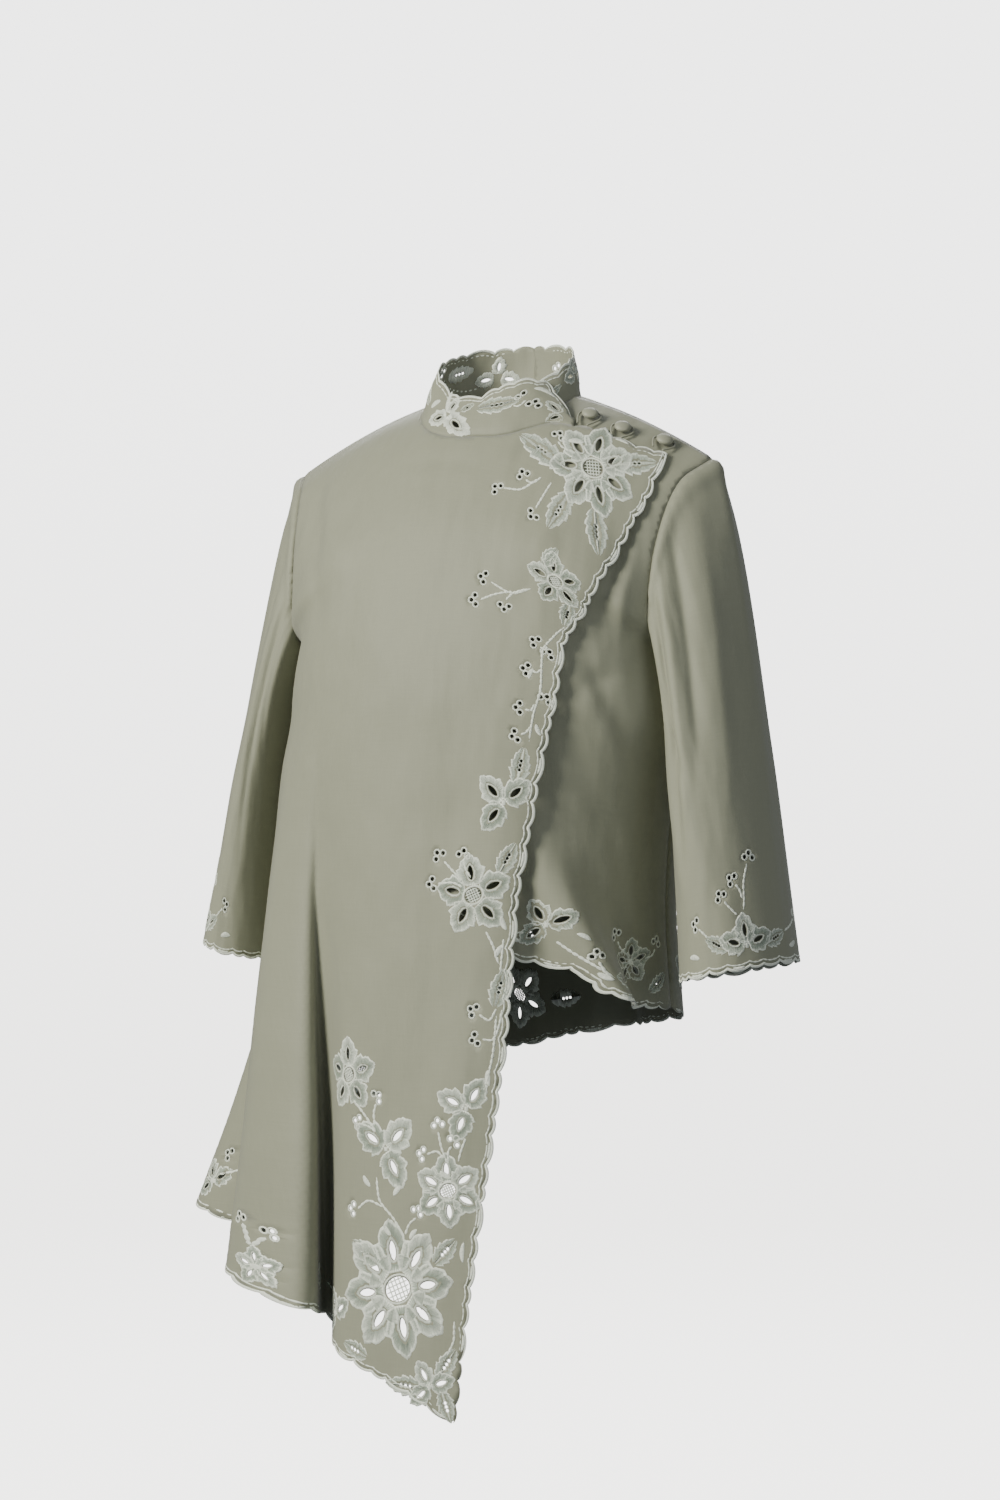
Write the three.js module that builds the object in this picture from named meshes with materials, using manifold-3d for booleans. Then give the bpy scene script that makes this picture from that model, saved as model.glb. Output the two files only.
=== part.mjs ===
import * as THREE from 'three';
import Module from 'manifold-3d';

// Asymmetric stand-collar jacket, millimetres, +Z up, front towards -Y, the wearer's left towards +X.
// The origin is the middle of the neck opening, level with the neck ends of the shoulder seams.

const wasm = await Module();
wasm.setup();

// ---- driving dimensions ----
const WALL = 1.6;
const SEAM_GAP = 0.3;
const UNDERARM_LEVEL = 220;
const NECK_HALF_WIDTH = 67;
const NECK_DROP_FRONT = 80;
const NECK_DROP_BACK = 56;
const OVERLAP_OFFSET = 3.2;
const LAP_EDGE = -2;
const ROWS_TO_UNDERARM = 9;
const ROWS_BELOW = 20;
const BUTTON_RADIUS = 7;
const BUTTON_HEIGHT = 6.2;
const LOOP_RADIUS = 9.4;
const LOOP_CORD = 0.8;
const LOOP_LIFT = 1.0;
const BUTTON_LIFT = 0.45;
const ARMHOLE_LENGTH = 420;
const SLEEVE_ROWS = 16;

const CLOTH = { color: 0x8c9080, roughness: 0.82, metalness: 0 };
const COVERED = { color: 0x868a7a, roughness: 0.75, metalness: 0 };

// Half of the body's front at each level down from the shoulder line: the middle point (cy, cz), the side
// point (ox, oy, oz), and the two handles of the curve between them.
const FRONT_ROWS = [
  { level: 0, cy: 11, cz: 16, ox: 196, oy: 4, oz: -50, reach: 60, hx: 126, hy: 6, hz: -8 },
  { level: 35, cy: -26, cz: 0, ox: 181, oy: -27, oz: -70, reach: 64, hx: 126, hy: -32, hz: -30 },
  { level: 75, cy: -57, cz: -28, ox: 174, oy: -46, oz: -102, reach: 68, hx: 132, hy: -64, hz: -66 },
  { level: 120, cy: -85, cz: -68, ox: 170, oy: -57, oz: -140, reach: 74, hx: 134, hy: -90, hz: -108 },
  { level: 170, cy: -109, cz: -113, ox: 168, oy: -60, oz: -182, reach: 84, hx: 140, hy: -112, hz: -158 },
  { level: 220, cy: -123, cz: -160, ox: 171, oy: 0, oz: -226, reach: 92, hx: 166, hy: -112, hz: -204 },
  { level: 290, cy: -136, cz: -228, ox: 175, oy: 0, oz: -272, reach: 100, hx: 178, hy: -100, hz: -256 },
  { level: 360, cy: -141, cz: -298, ox: 164, oy: 4, oz: -312, reach: 96, hx: 168, hy: -92, hz: -306 },
  { level: 420, cy: -144, cz: -361, ox: 156, oy: 4, oz: -361, reach: 88, hx: 158, hy: -88, hz: -361 },
  { level: 480, cy: -147, cz: -421, ox: 153, oy: 4, oz: -421, reach: 86, hx: 154, hy: -86, hz: -421 },
  { level: 560, cy: -150, cz: -501, ox: 158, oy: 4, oz: -501, reach: 88, hx: 160, hy: -86, hz: -501 },
  { level: 700, cy: -154, cz: -641, ox: 168, oy: 4, oz: -641, reach: 92, hx: 170, hy: -88, hz: -641 },
  { level: 940, cy: -158, cz: -881, ox: 178, oy: 4, oz: -881, reach: 98, hx: 180, hy: -92, hz: -881 },
];
const BACK_ROWS = [
  { level: 0, cy: 11, cz: 16, ox: 196, oy: 4, oz: -50, reach: 60, hx: 126, hy: 6, hz: -8 },
  { level: 35, cy: 46, cz: 19, ox: 187, oy: 26, oz: -62, reach: 62, hx: 130, hy: 32, hz: -20 },
  { level: 75, cy: 78, cz: 4, ox: 179, oy: 42, oz: -92, reach: 66, hx: 136, hy: 62, hz: -52 },
  { level: 120, cy: 97, cz: -36, ox: 174, oy: 52, oz: -132, reach: 72, hx: 134, hy: 86, hz: -98 },
  { level: 170, cy: 104, cz: -84, ox: 168, oy: 46, oz: -182, reach: 82, hx: 140, hy: 100, hz: -150 },
  { level: 220, cy: 109, cz: -134, ox: 171, oy: 0, oz: -226, reach: 92, hx: 166, hy: 90, hz: -202 },
  { level: 290, cy: 110, cz: -208, ox: 175, oy: 0, oz: -272, reach: 100, hx: 178, hy: 80, hz: -252 },
  { level: 360, cy: 106, cz: -283, ox: 164, oy: 4, oz: -312, reach: 96, hx: 168, hy: 72, hz: -300 },
  { level: 420, cy: 102, cz: -361, ox: 156, oy: 4, oz: -361, reach: 88, hx: 158, hy: 66, hz: -361 },
  { level: 480, cy: 104, cz: -421, ox: 153, oy: 4, oz: -421, reach: 86, hx: 154, hy: 66, hz: -421 },
  { level: 560, cy: 112, cz: -501, ox: 158, oy: 4, oz: -501, reach: 88, hx: 160, hy: 70, hz: -501 },
  { level: 700, cy: 122, cz: -641, ox: 168, oy: 4, oz: -641, reach: 92, hx: 170, hy: 76, hz: -641 },
  { level: 940, cy: 130, cz: -881, ox: 178, oy: 4, oz: -881, reach: 98, hx: 180, hy: 80, hz: -881 },
];

// How much further the right side stands out than the left.
const RIGHT_EXTRA = [
  { level: 0, extra: 0 },
  { level: 220, extra: 1 },
  { level: 290, extra: 3 },
  { level: 360, extra: 26 },
  { level: 420, extra: 43 },
  { level: 480, extra: 50 },
  { level: 560, extra: 46 },
  { level: 700, extra: 34 },
  { level: 940, extra: 26 },
];

// Largest folds. around: 0 is the centre front, 1 the left side seam, 2 the centre back, -1 the right side
// seam; a fold's middle moves from around to aroundLow (at level 900), and grows below its start.
const BODY_FOLDS = [
  { around: -0.6, aroundLow: -0.6, start: 330, growth: 0.105, width: 0.105 },
  { around: -0.44, aroundLow: -0.42, start: 380, growth: -0.1, width: 0.055 },
  { around: -0.77, aroundLow: -0.77, start: 420, growth: -0.08, width: 0.06 },
  { around: -0.9, aroundLow: -0.92, start: 500, growth: 0.42, width: 0.13 },
  { around: -1.35, aroundLow: -1.35, start: 380, growth: 0.16, width: 0.12 },
  { around: -1.75, aroundLow: -1.78, start: 340, growth: 0.11, width: 0.1 },
  { around: 1.72, aroundLow: 1.76, start: 330, growth: 0.1, width: 0.1 },
  { around: 1.42, aroundLow: 1.42, start: 360, growth: 0.06, width: 0.1 },
];
const UNDER_FOLDS = [
  { around: 0.34, aroundLow: 1.24, start: 375, growth: 0.3, width: 0.085 },
  { around: 0.56, aroundLow: 1.4, start: 390, growth: -0.1, width: 0.07 },
];

// The over panel's free edge: distance across from the centre front at each level.
const FRONT_EDGE = [
  { level: 20, across: 177 },
  { level: 60, across: 177 },
  { level: 100, across: 168 },
  { level: 140, across: 158 },
  { level: 175, across: 146 },
  { level: 210, across: 134 },
  { level: 250, across: 120 },
  { level: 290, across: 116 },
  { level: 340, across: 107 },
  { level: 400, across: 96 },
  { level: 480, across: 84 },
  { level: 560, across: 80 },
  { level: 640, across: 72 },
  { level: 720, across: 62 },
  { level: 800, across: 52 },
  { level: 900, across: 42 },
];
// How far the free edge lifts off what is under it.
const EDGE_LIFT = [
  { level: 20, lift: 0.3 },
  { level: 180, lift: 1.5 },
  { level: 300, lift: 5 },
  { level: 450, lift: 10 },
  { level: 900, lift: 4 },
];
const HEM = [
  { around: -2, level: 598 },
  { around: -1.5, level: 638 },
  { around: -1, level: 728 },
  { around: -0.86, level: 750 },
  { around: -0.65, level: 785 },
  { around: -0.5, level: 812 },
  { around: -0.3, level: 838 },
  { around: -0.12, level: 856 },
  { around: 0.03, level: 874 },
  { around: 0.14, level: 890 },
];
const UNDER_HEM = [
  { around: -0.1, level: 505 },
  { around: 0.35, level: 517 },
  { around: 0.54, level: 528 },
  { around: 0.6, level: 545 },
  { around: 1, level: 563 },
  { around: 1.5, level: 580 },
  { around: 2, level: 598 },
];

// Sleeve rows round the armhole: round 0 is the shoulder, 0.5 the underarm, front first. out is the first
// handle, from the armhole point.
const SLEEVE_OUT = [
  { round: 0, outX: 24, outY: 0, outZ: 1 },
  { round: 0.12, outX: 17, outY: -2, outZ: -20 },
  { round: 0.25, outX: 18, outY: -8, outZ: -46 },
  { round: 0.38, outX: 23, outY: -17, outZ: -60 },
  { round: 0.5, outX: 23, outY: 0, outZ: -64 },
  { round: 0.62, outX: 25, outY: 14, outZ: -60 },
  { round: 0.75, outX: 26, outY: 18, outZ: -44 },
  { round: 0.88, outX: 28, outY: 6, outZ: -16 },
  { round: 1, outX: 24, outY: 0, outZ: 1 },
];
// A cuff's middle and half sizes; its outer side is higher by tilt. lean and rise place the second handle.
const CUFFS = {
  left: {
    side: 1, x: 236, y: -30, z: -468, halfWidth: 43, halfDepth: 66, tilt: 9,
    leanIn: 12, leanOut: 34, leanY: 10, rise: 190,
  },
  right: {
    side: -1, x: 250, y: 10, z: -463, halfWidth: 34, halfDepth: 64, tilt: 9,
    leanIn: 8, leanOut: 50, leanY: -6, rise: 190,
  },
};

// Collar: turn 0 is the centre front, 90 the wearer's left, 180 the centre back. The top edge's place, as a
// radius from the neck's own middle and a height. The right half laps over the left one.
const COLLAR_MIDDLE_Y = 11;
const COLLAR_RIGHT_TOP = [
  { turn: -180, radius: 52, height: 58 },
  { turn: -135, radius: 56, height: 54 },
  { turn: -90, radius: 57, height: 42 },
  { turn: -62, radius: 57, height: 30 },
  { turn: -30, radius: 52, height: 8 },
  { turn: 0, radius: 51, height: 4 },
  { turn: 20, radius: 54, height: 11 },
  { turn: 48, radius: 59, height: 18 },
  { turn: 76, radius: 62, height: 14 },
];
const COLLAR_LEFT_TOP = [
  { turn: 0, radius: 48, height: 1 },
  { turn: 20, radius: 49, height: 7 },
  { turn: 48, radius: 53, height: 13 },
  { turn: 90, radius: 57, height: 34 },
  { turn: 118, radius: 57, height: 47 },
  { turn: 135, radius: 56, height: 53 },
  { turn: 180, radius: 52, height: 58 },
];
// Where the over panel's neckline leaves the neck and crosses to the shoulder, and its edge from there.
const LAP_NECK = [
  { turn: 6, across: 7, level: 80 },
  { turn: 20, across: 23, level: 79 },
  { turn: 34, across: 39, level: 74 },
  { turn: 48, across: 56, level: 62.5 },
  { turn: 62, across: 74, level: 50 },
  { turn: 76, across: 91, level: 45.5 },
];
const SHOULDER_EDGE = [
  { across: 91, level: 45.5 },
  { across: 114, level: 39.5 },
  { across: 130, level: 38 },
  { across: 147, level: 35 },
  { across: 163, level: 30 },
  { across: 177, level: 24 },
];

// Turns of the neckline where the columns of the pieces meet, so that edges lie together.
const TURNS_RIGHT = [-90, -78, -66, -54, -42, -30, -18, -6];
const TURNS_LAP = [6, 20, 34, 48, 62, 76];
const TURNS_BACK = [90, 102.5, 115, 128, 141, 154, 167, 179.85];

const BUTTONS = [
  { across: 98, level: 27 },
  { across: 130, level: 25 },
  { across: 167, level: 15 },
];

// Cutwork flowers: petals slit open from the middle out. The first petal's angle is from the wearer's left,
// upwards; spread is the whole fan.
const FLOWERS = [
  { panel: 'right_front', across: 135, level: 74, radius: 38, petals: 6, first: -5, spread: 360, slit: 13 },
  { panel: 'right_front', across: 114, level: 188, radius: 25, petals: 5, first: 100, spread: 360, slit: 10 },
  { panel: 'right_front', across: 81, level: 392, radius: 25, petals: 3, first: 40, spread: 190, slit: 11 },
  { panel: 'right_front', across: 61, level: 464, radius: 34, petals: 5, first: 10, spread: 360, slit: 12 },
  { panel: 'right_front', across: 56, level: 637, radius: 25, petals: 3, first: 60, spread: 190, slit: 11 },
  { panel: 'right_front', across: 52, level: 702, radius: 33, petals: 5, first: 110, spread: 360, slit: 12 },
  { panel: 'right_front', across: 2, level: 784, radius: 50, petals: 7, first: 10, spread: 360, slit: 16 },
  { panel: 'right_front', across: -18, level: 673, radius: 28, petals: 3, first: -60, spread: 210, slit: 12 },
  { panel: 'right_front', across: -50, level: 615, radius: 26, petals: 5, first: 20, spread: 360, slit: 9 },
  { panel: 'right_front', across: 24, level: 860, radius: 22, petals: 3, first: 20, spread: 200, slit: 9 },
  { panel: 'right_front', across: -68, level: 812, radius: 24, petals: 3, first: 30, spread: 180, slit: 9 },
  { panel: 'right_front', across: -150, level: 772, radius: 26, petals: 5, first: 90, spread: 360, slit: 9 },
  { panel: 'right_front', across: -222, level: 724, radius: 22, petals: 3, first: 30, spread: 180, slit: 9 },
  { panel: 'left_front', across: 108, level: 490, radius: 24, petals: 3, first: 25, spread: 190, slit: 11 },
  { panel: 'left_front', across: 196, level: 522, radius: 20, petals: 5, first: 95, spread: 360, slit: 8 },
];
const SLIT_WIDTH = 4.8;
const CUFF_SLITS = [
  { round: 0.13, along: 0.93, angle: 90 },
  { round: 0.1, along: 0.955, angle: 162 },
  { round: 0.16, along: 0.955, angle: 18 },
  { round: 0.2, along: 0.94, angle: 60 },
];
const CUFF_SLIT_LENGTH = 10;

// ---- small sums ----
const vec = (x, y, z) => new THREE.Vector3(x, y, z);
const clamp = (value, low, high) => Math.min(high, Math.max(low, value));
const lerp = (a, b, t) => a + (b - a) * t;
function ease(value) {
  const t = clamp(value, 0, 1);
  return t * t * (3 - 2 * t);
}

// Smooth curve through a table's column that never overshoots its rows.
function along(table, key, column, at) {
  const value = clamp(at, table[0][key], table[table.length - 1][key]);
  let i = 0;
  while (i < table.length - 2 && value >= table[i + 1][key]) i += 1;
  const rise = (k) => (table[k + 1][column] - table[k][column]) / (table[k + 1][key] - table[k][key]);
  const slope = (k) => {
    if (k === 0) return rise(0);
    if (k === table.length - 1) return rise(k - 1);
    const before = rise(k - 1);
    const after = rise(k);
    if (before * after <= 0) return 0;
    const stepBefore = table[k][key] - table[k - 1][key];
    const stepAfter = table[k + 1][key] - table[k][key];
    const w1 = 2 * stepAfter + stepBefore;
    const w2 = stepAfter + 2 * stepBefore;
    return (w1 + w2) / (w1 / before + w2 / after);
  };
  const step = table[i + 1][key] - table[i][key];
  const t = (value - table[i][key]) / step;
  const t2 = t * t;
  const t3 = t2 * t;
  const from = table[i][column] * (2 * t3 - 3 * t2 + 1) + slope(i) * step * (t3 - 2 * t2 + t);
  return from + table[i + 1][column] * (3 * t2 - 2 * t3) + slope(i + 1) * step * (t3 - t2);
}

function bezier(p0, p1, p2, p3, t) {
  const s = 1 - t;
  const point = p0.clone().multiplyScalar(s * s * s);
  point.addScaledVector(p1, 3 * s * s * t);
  point.addScaledVector(p2, 3 * s * t * t);
  point.addScaledVector(p3, t * t * t);
  return point;
}

// ---- the body's surface ----
const wrap = (around) => around - 4 * Math.floor((around + 2) / 4);
const rowCache = new Map();

// A row's curve in even steps of its own length.
function bodyRow(rows, level) {
  const key = `${rows === FRONT_ROWS ? 'f' : 'b'}${level.toFixed(4)}`;
  if (rowCache.has(key)) return rowCache.get(key);
  const get = (column) => along(rows, 'level', column, level);
  const p0 = vec(0, get('cy'), get('cz'));
  const p1 = vec(get('reach'), get('cy'), get('cz'));
  const p2 = vec(get('hx'), get('hy'), get('hz'));
  const p3 = vec(get('ox'), get('oy'), get('oz'));
  const steps = 40;
  const lengths = [0];
  let before = p0;
  for (let i = 1; i <= steps; i += 1) {
    const point = bezier(p0, p1, p2, p3, i / steps);
    lengths.push(lengths[i - 1] + point.distanceTo(before));
    before = point;
  }
  const row = { p0, p1, p2, p3, steps, lengths, total: lengths[steps] };
  rowCache.set(key, row);
  return row;
}

function rowPoint(row, share) {
  const target = clamp(share, 0, 1) * row.total;
  let i = 0;
  while (i < row.steps - 1 && row.lengths[i + 1] < target) i += 1;
  const part = (target - row.lengths[i]) / (row.lengths[i + 1] - row.lengths[i]);
  return bezier(row.p0, row.p1, row.p2, row.p3, (i + part) / row.steps);
}

function basePoint(around, level, front) {
  const turn = wrap(around);
  const share = front ? Math.abs(turn) : 2 - Math.abs(turn);
  const row = bodyRow(front ? FRONT_ROWS : BACK_ROWS, Math.max(level, 0));
  const point = rowPoint(row, share);
  if (turn < 0) {
    const extra = along(RIGHT_EXTRA, 'level', 'extra', level);
    point.x *= -(1 + extra / row.p3.x);
  }
  return point;
}

function baseNormal(around, level, front) {
  const sideways = 0.004;
  const turn = wrap(around);
  const nudge = Math.abs(Math.abs(turn) - 1) < sideways && front ? Math.sign(turn) * -sideways : 0;
  const nudgeBack = Math.abs(Math.abs(turn) - 1) < sideways && !front ? Math.sign(turn) * sideways : 0;
  const middle = turn + nudge + nudgeBack;
  const down = basePoint(middle, level + 1, front).sub(basePoint(middle, Math.max(level - 1, 0), front));
  const across = basePoint(middle + sideways, level, front).sub(basePoint(middle - sideways, level, front));
  return down.cross(across).normalize();
}

function frontShare(across, level) {
  return across / bodyRow(FRONT_ROWS, Math.max(level, 0)).total;
}

function foldDepth(folds, around, level) {
  let depth = 0;
  for (const fold of folds) {
    const below = Math.max(level - fold.start, 0);
    const middle = lerp(fold.around, fold.aroundLow, clamp(below / (900 - fold.start), 0, 1));
    const away = (wrap(around) - middle) / fold.width;
    depth += fold.growth * ((below * below) / (below + 60)) * Math.exp(-away * away);
  }
  return depth;
}

// The shoulder line and the side line share one normal between front and back.
function bodyNormal(around, level, front) {
  const normal = baseNormal(around, level, front);
  const turn = wrap(around);
  const ridge = 0.5 * (1 - clamp(level / 20, 0, 1));
  if (ridge > 0) {
    const other = front ? Math.sign(turn || 1) * 2 - turn : Math.sign(turn) * 2 - turn;
    normal.lerp(baseNormal(other, 0, !front), ridge);
  }
  const side = 0.5 * (1 - clamp(Math.abs(Math.abs(turn) - 1) / 0.08, 0, 1)) * ease((level - 200) / 20);
  if (side > 0) normal.lerp(baseNormal(Math.sign(turn) * 2 - turn, level, !front), side);
  return normal.normalize();
}

function bodyPoint(around, level, out, folds, front) {
  const depth = foldDepth(folds, around, level) + out;
  return basePoint(around, level, front).addScaledVector(bodyNormal(around, level, front), depth);
}

// How far the over panel lies out from the body: over the under panel, and more at its free edge.
function overOffset(around, level) {
  const edge = along(FRONT_EDGE, 'level', 'across', level);
  const across = wrap(around) * bodyRow(FRONT_ROWS, Math.max(level, 0)).total;
  const lift = along(EDGE_LIFT, 'level', 'lift', level);
  return OVERLAP_OFFSET * ease((wrap(around) + 0.42) / 0.3) + lift * ease((across - edge + 70) / 70);
}

const SURFACES = {
  right_front: (around, level, out) =>
    bodyPoint(around, level, overOffset(around, level) + out, BODY_FOLDS, true),
  left_front: (around, level, out) => bodyPoint(around, level, out, UNDER_FOLDS, true),
  back: (around, level, out) => bodyPoint(around, level, out, BODY_FOLDS, false),
};

// ---- walls ----
// A wall is a closed solid between two grids of points; a grid is a list of columns.
function wallGeometry(inner, outer) {
  const columns = inner.length;
  const rows = inner[0].length;
  const positions = [];
  for (const grid of [inner, outer]) {
    for (const column of grid) for (const p of column) positions.push(p.x, p.y, p.z);
  }
  const at = (layer, i, j) => layer * columns * rows + i * rows + j;
  const index = [];
  const quad = (a, b, c, d) => index.push(a, b, c, a, c, d);
  for (let i = 0; i < columns - 1; i += 1) {
    for (let j = 0; j < rows - 1; j += 1) {
      quad(at(1, i, j), at(1, i, j + 1), at(1, i + 1, j + 1), at(1, i + 1, j));
      quad(at(0, i, j), at(0, i + 1, j), at(0, i + 1, j + 1), at(0, i, j + 1));
    }
  }
  for (let i = 0; i < columns - 1; i += 1) {
    quad(at(0, i, 0), at(1, i, 0), at(1, i + 1, 0), at(0, i + 1, 0));
    quad(at(0, i + 1, rows - 1), at(1, i + 1, rows - 1), at(1, i, rows - 1), at(0, i, rows - 1));
  }
  for (let j = 0; j < rows - 1; j += 1) {
    quad(at(0, 0, j + 1), at(1, 0, j + 1), at(1, 0, j), at(0, 0, j));
    quad(at(0, columns - 1, j), at(1, columns - 1, j), at(1, columns - 1, j + 1), at(0, columns - 1, j + 1));
  }
  const geometry = new THREE.BufferGeometry();
  geometry.setAttribute('position', new THREE.Float32BufferAttribute(positions, 3));
  geometry.setIndex(index);
  return geometry;
}

function signedVolume(positions, index) {
  let volume = 0;
  const a = vec(0, 0, 0);
  const b = vec(0, 0, 0);
  const c = vec(0, 0, 0);
  for (let i = 0; i < index.length; i += 3) {
    a.fromArray(positions, 3 * index[i]);
    b.fromArray(positions, 3 * index[i + 1]);
    c.fromArray(positions, 3 * index[i + 2]);
    volume += a.dot(b.cross(c)) / 6;
  }
  return volume;
}

function toSolid(geometry) {
  const positions = Float32Array.from(geometry.getAttribute('position').array);
  const index = Uint32Array.from(geometry.getIndex().array);
  if (signedVolume(positions, index) < 0) index.reverse();
  const mesh = new wasm.Mesh({ numProp: 3, vertProperties: positions, triVerts: index });
  return new wasm.Manifold(mesh);
}

function fromSolid(solid) {
  const mesh = solid.getMesh();
  const geometry = new THREE.BufferGeometry();
  geometry.setAttribute('position', new THREE.Float32BufferAttribute(Array.from(mesh.vertProperties), 3));
  geometry.setIndex(Array.from(mesh.triVerts));
  return geometry;
}

// A long six-sided plug through a wall: centre, direction along the slit, wall normal.
function slitPlug(centre, direction, normal, length, width) {
  const sideways = normal.clone().cross(direction).normalize();
  const reach = 2.6;
  const outline = [];
  const sides = 6;
  for (let k = 0; k < sides; k += 1) {
    const angle = (k / sides) * 2 * Math.PI;
    outline.push([(Math.cos(angle) * length) / 2, (Math.sin(angle) * width) / 2]);
  }
  const inner = [];
  const outer = [];
  for (const [alongIt, acrossIt] of outline) {
    const foot = centre.clone().addScaledVector(direction, alongIt).addScaledVector(sideways, acrossIt);
    inner.push(foot.clone().addScaledVector(normal, -reach));
    outer.push(foot.clone().addScaledVector(normal, WALL + reach));
  }
  const positions = [];
  for (const p of [...inner, ...outer]) positions.push(p.x, p.y, p.z);
  const index = [];
  for (let k = 0; k < sides; k += 1) {
    const next = (k + 1) % sides;
    index.push(k, next, sides + next, k, sides + next, sides + k);
  }
  for (let k = 1; k < sides - 1; k += 1) {
    index.push(0, k + 1, k);
    index.push(sides, sides + k, sides + k + 1);
  }
  const geometry = new THREE.BufferGeometry();
  geometry.setAttribute('position', new THREE.Float32BufferAttribute(positions, 3));
  geometry.setIndex(index);
  return toSolid(geometry);
}

function cutSlits(solid, plugs) {
  let result = solid;
  for (const plug of plugs) result = result.subtract(plug);
  return result;
}

// The right side is wider than its rows, so a flower there is drawn narrower to come out round.
function widening(across, level) {
  if (across >= 0) return 1;
  return 1 + along(RIGHT_EXTRA, 'level', 'extra', level) / bodyRow(FRONT_ROWS, level).p3.x;
}

// The petals' slits of one panel's flowers.
function flowerPlugs(panel) {
  const surface = SURFACES[panel];
  const plugs = [];
  for (const flower of FLOWERS.filter((row) => row.panel === panel)) {
    const closed = flower.spread === 360;
    for (let k = 0; k < flower.petals; k += 1) {
      const share = closed ? k / flower.petals : k / (flower.petals - 1);
      const angle = ((flower.first + share * flower.spread) * Math.PI) / 180;
      const middle = flower.radius * 0.56;
      const cosine = Math.cos(angle) / widening(flower.across, flower.level);
      const place = (distance) => {
        const level = flower.level - Math.sin(angle) * distance;
        const across = flower.across + cosine * distance;
        return surface(frontShare(across, level), level, 0);
      };
      const centre = place(middle);
      const direction = place(middle + 3).sub(place(middle - 3)).normalize();
      const level = flower.level - Math.sin(angle) * middle;
      const share2 = frontShare(flower.across + cosine * middle, level);
      const sideStep = surface(share2 + 0.006, level, 0).sub(surface(share2 - 0.006, level, 0));
      const downStep = surface(share2, level + 2, 0).sub(surface(share2, level - 2, 0));
      const normal = downStep.cross(sideStep).normalize();
      plugs.push(slitPlug(centre, direction, normal, flower.slit, SLIT_WIDTH));
    }
  }
  return plugs;
}

// ---- neckline ----
// The neckline's pattern place at a turn in degrees: 0 centre front, 90 the wearer's left, 180 back.
function neckPlace(turn) {
  const angle = (turn * Math.PI) / 180;
  const front = Math.cos(angle) >= 0;
  const across = NECK_HALF_WIDTH * Math.sin(angle);
  const level = (front ? NECK_DROP_FRONT : NECK_DROP_BACK) * Math.abs(Math.cos(angle));
  const rows = front ? FRONT_ROWS : BACK_ROWS;
  const share = across / bodyRow(rows, level).total;
  const around = front ? share : Math.sign(share || 1) * 2 - share;
  return { around, level, front };
}

function lapNeckPlace(turn) {
  if (turn < LAP_NECK[0].turn) return neckPlace(turn);
  const level = along(LAP_NECK, 'turn', 'level', turn);
  return { around: frontShare(along(LAP_NECK, 'turn', 'across', turn), level), level, front: true };
}

// ---- panels ----
const halfGap = (level, rows) => SEAM_GAP / 2 / bodyRow(rows, Math.max(level, 0)).total;

// A panel from its top columns: they follow the neckline and shoulder at the top and are even lower down.
// Every panel has the same rows at its side seams, so those edges lie together.
function panelSolid(panel, columns, edges) {
  const surface = SURFACES[panel];
  const inner = [];
  const outer = [];
  columns.forEach((column, i) => {
    const share = i / (columns.length - 1);
    const bottom = edges.bottom(share);
    const levels = [];
    for (let j = 0; j < ROWS_TO_UNDERARM; j += 1) {
      levels.push(lerp(column.level, UNDERARM_LEVEL, j / ROWS_TO_UNDERARM));
    }
    for (let j = 0; j <= ROWS_BELOW; j += 1) levels.push(lerp(UNDERARM_LEVEL, bottom, j / ROWS_BELOW));
    const arounds = levels.map((level) => {
      const settle = ease((level - column.level) / 160);
      return lerp(column.around, edges.around(share, level), settle);
    });
    inner.push(levels.map((level, j) => surface(arounds[j], level, 0)));
    outer.push(levels.map((level, j) => surface(arounds[j], level, WALL)));
  });
  return toSolid(wallGeometry(inner, outer));
}

function neckColumn(turn) {
  const place = neckPlace(turn);
  return { around: place.around, level: Math.max(place.level, SEAM_GAP / 2) };
}

function makeRightFront() {
  const ridge = SEAM_GAP / 2;
  const side = -1 + halfGap(0, FRONT_ROWS);
  const neckEnd = neckColumn(-90).around;
  const shares = [0, 0.2, 0.4, 0.6, 0.8];
  const columns = shares.map((share) => ({ around: lerp(side, neckEnd, share), level: ridge }));
  columns.push(...TURNS_RIGHT.map(neckColumn), ...TURNS_LAP.map(lapNeckPlace));
  for (const { across, level } of SHOULDER_EDGE.slice(1)) {
    columns.push({ around: frontShare(across, level), level });
  }
  const edges = {
    around: (share, level) => {
      const right = -1 + halfGap(level, FRONT_ROWS);
      const left = frontShare(along(FRONT_EDGE, 'level', 'across', level), level);
      return lerp(right, left, share);
    },
    bottom: (share) => along(HEM, 'around', 'level', lerp(-1, 0.14, share)),
  };
  return cutSlits(panelSolid('right_front', columns, edges), flowerPlugs('right_front'));
}

function makeLeftFront() {
  const ridge = SEAM_GAP / 2;
  const side = 1 - halfGap(0, FRONT_ROWS);
  const columns = [-6, ...TURNS_LAP, 90].map(neckColumn);
  const neckEnd = columns[columns.length - 1].around;
  for (const share of [0.2, 0.4, 0.6, 0.8, 1]) {
    columns.push({ around: lerp(neckEnd, side, share), level: ridge });
  }
  const edges = {
    around: (share, level) => lerp(frontShare(LAP_EDGE, level), 1 - halfGap(level, FRONT_ROWS), share),
    bottom: (share) => along(UNDER_HEM, 'around', 'level', share),
  };
  return cutSlits(panelSolid('left_front', columns, edges), flowerPlugs('left_front'));
}

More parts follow.
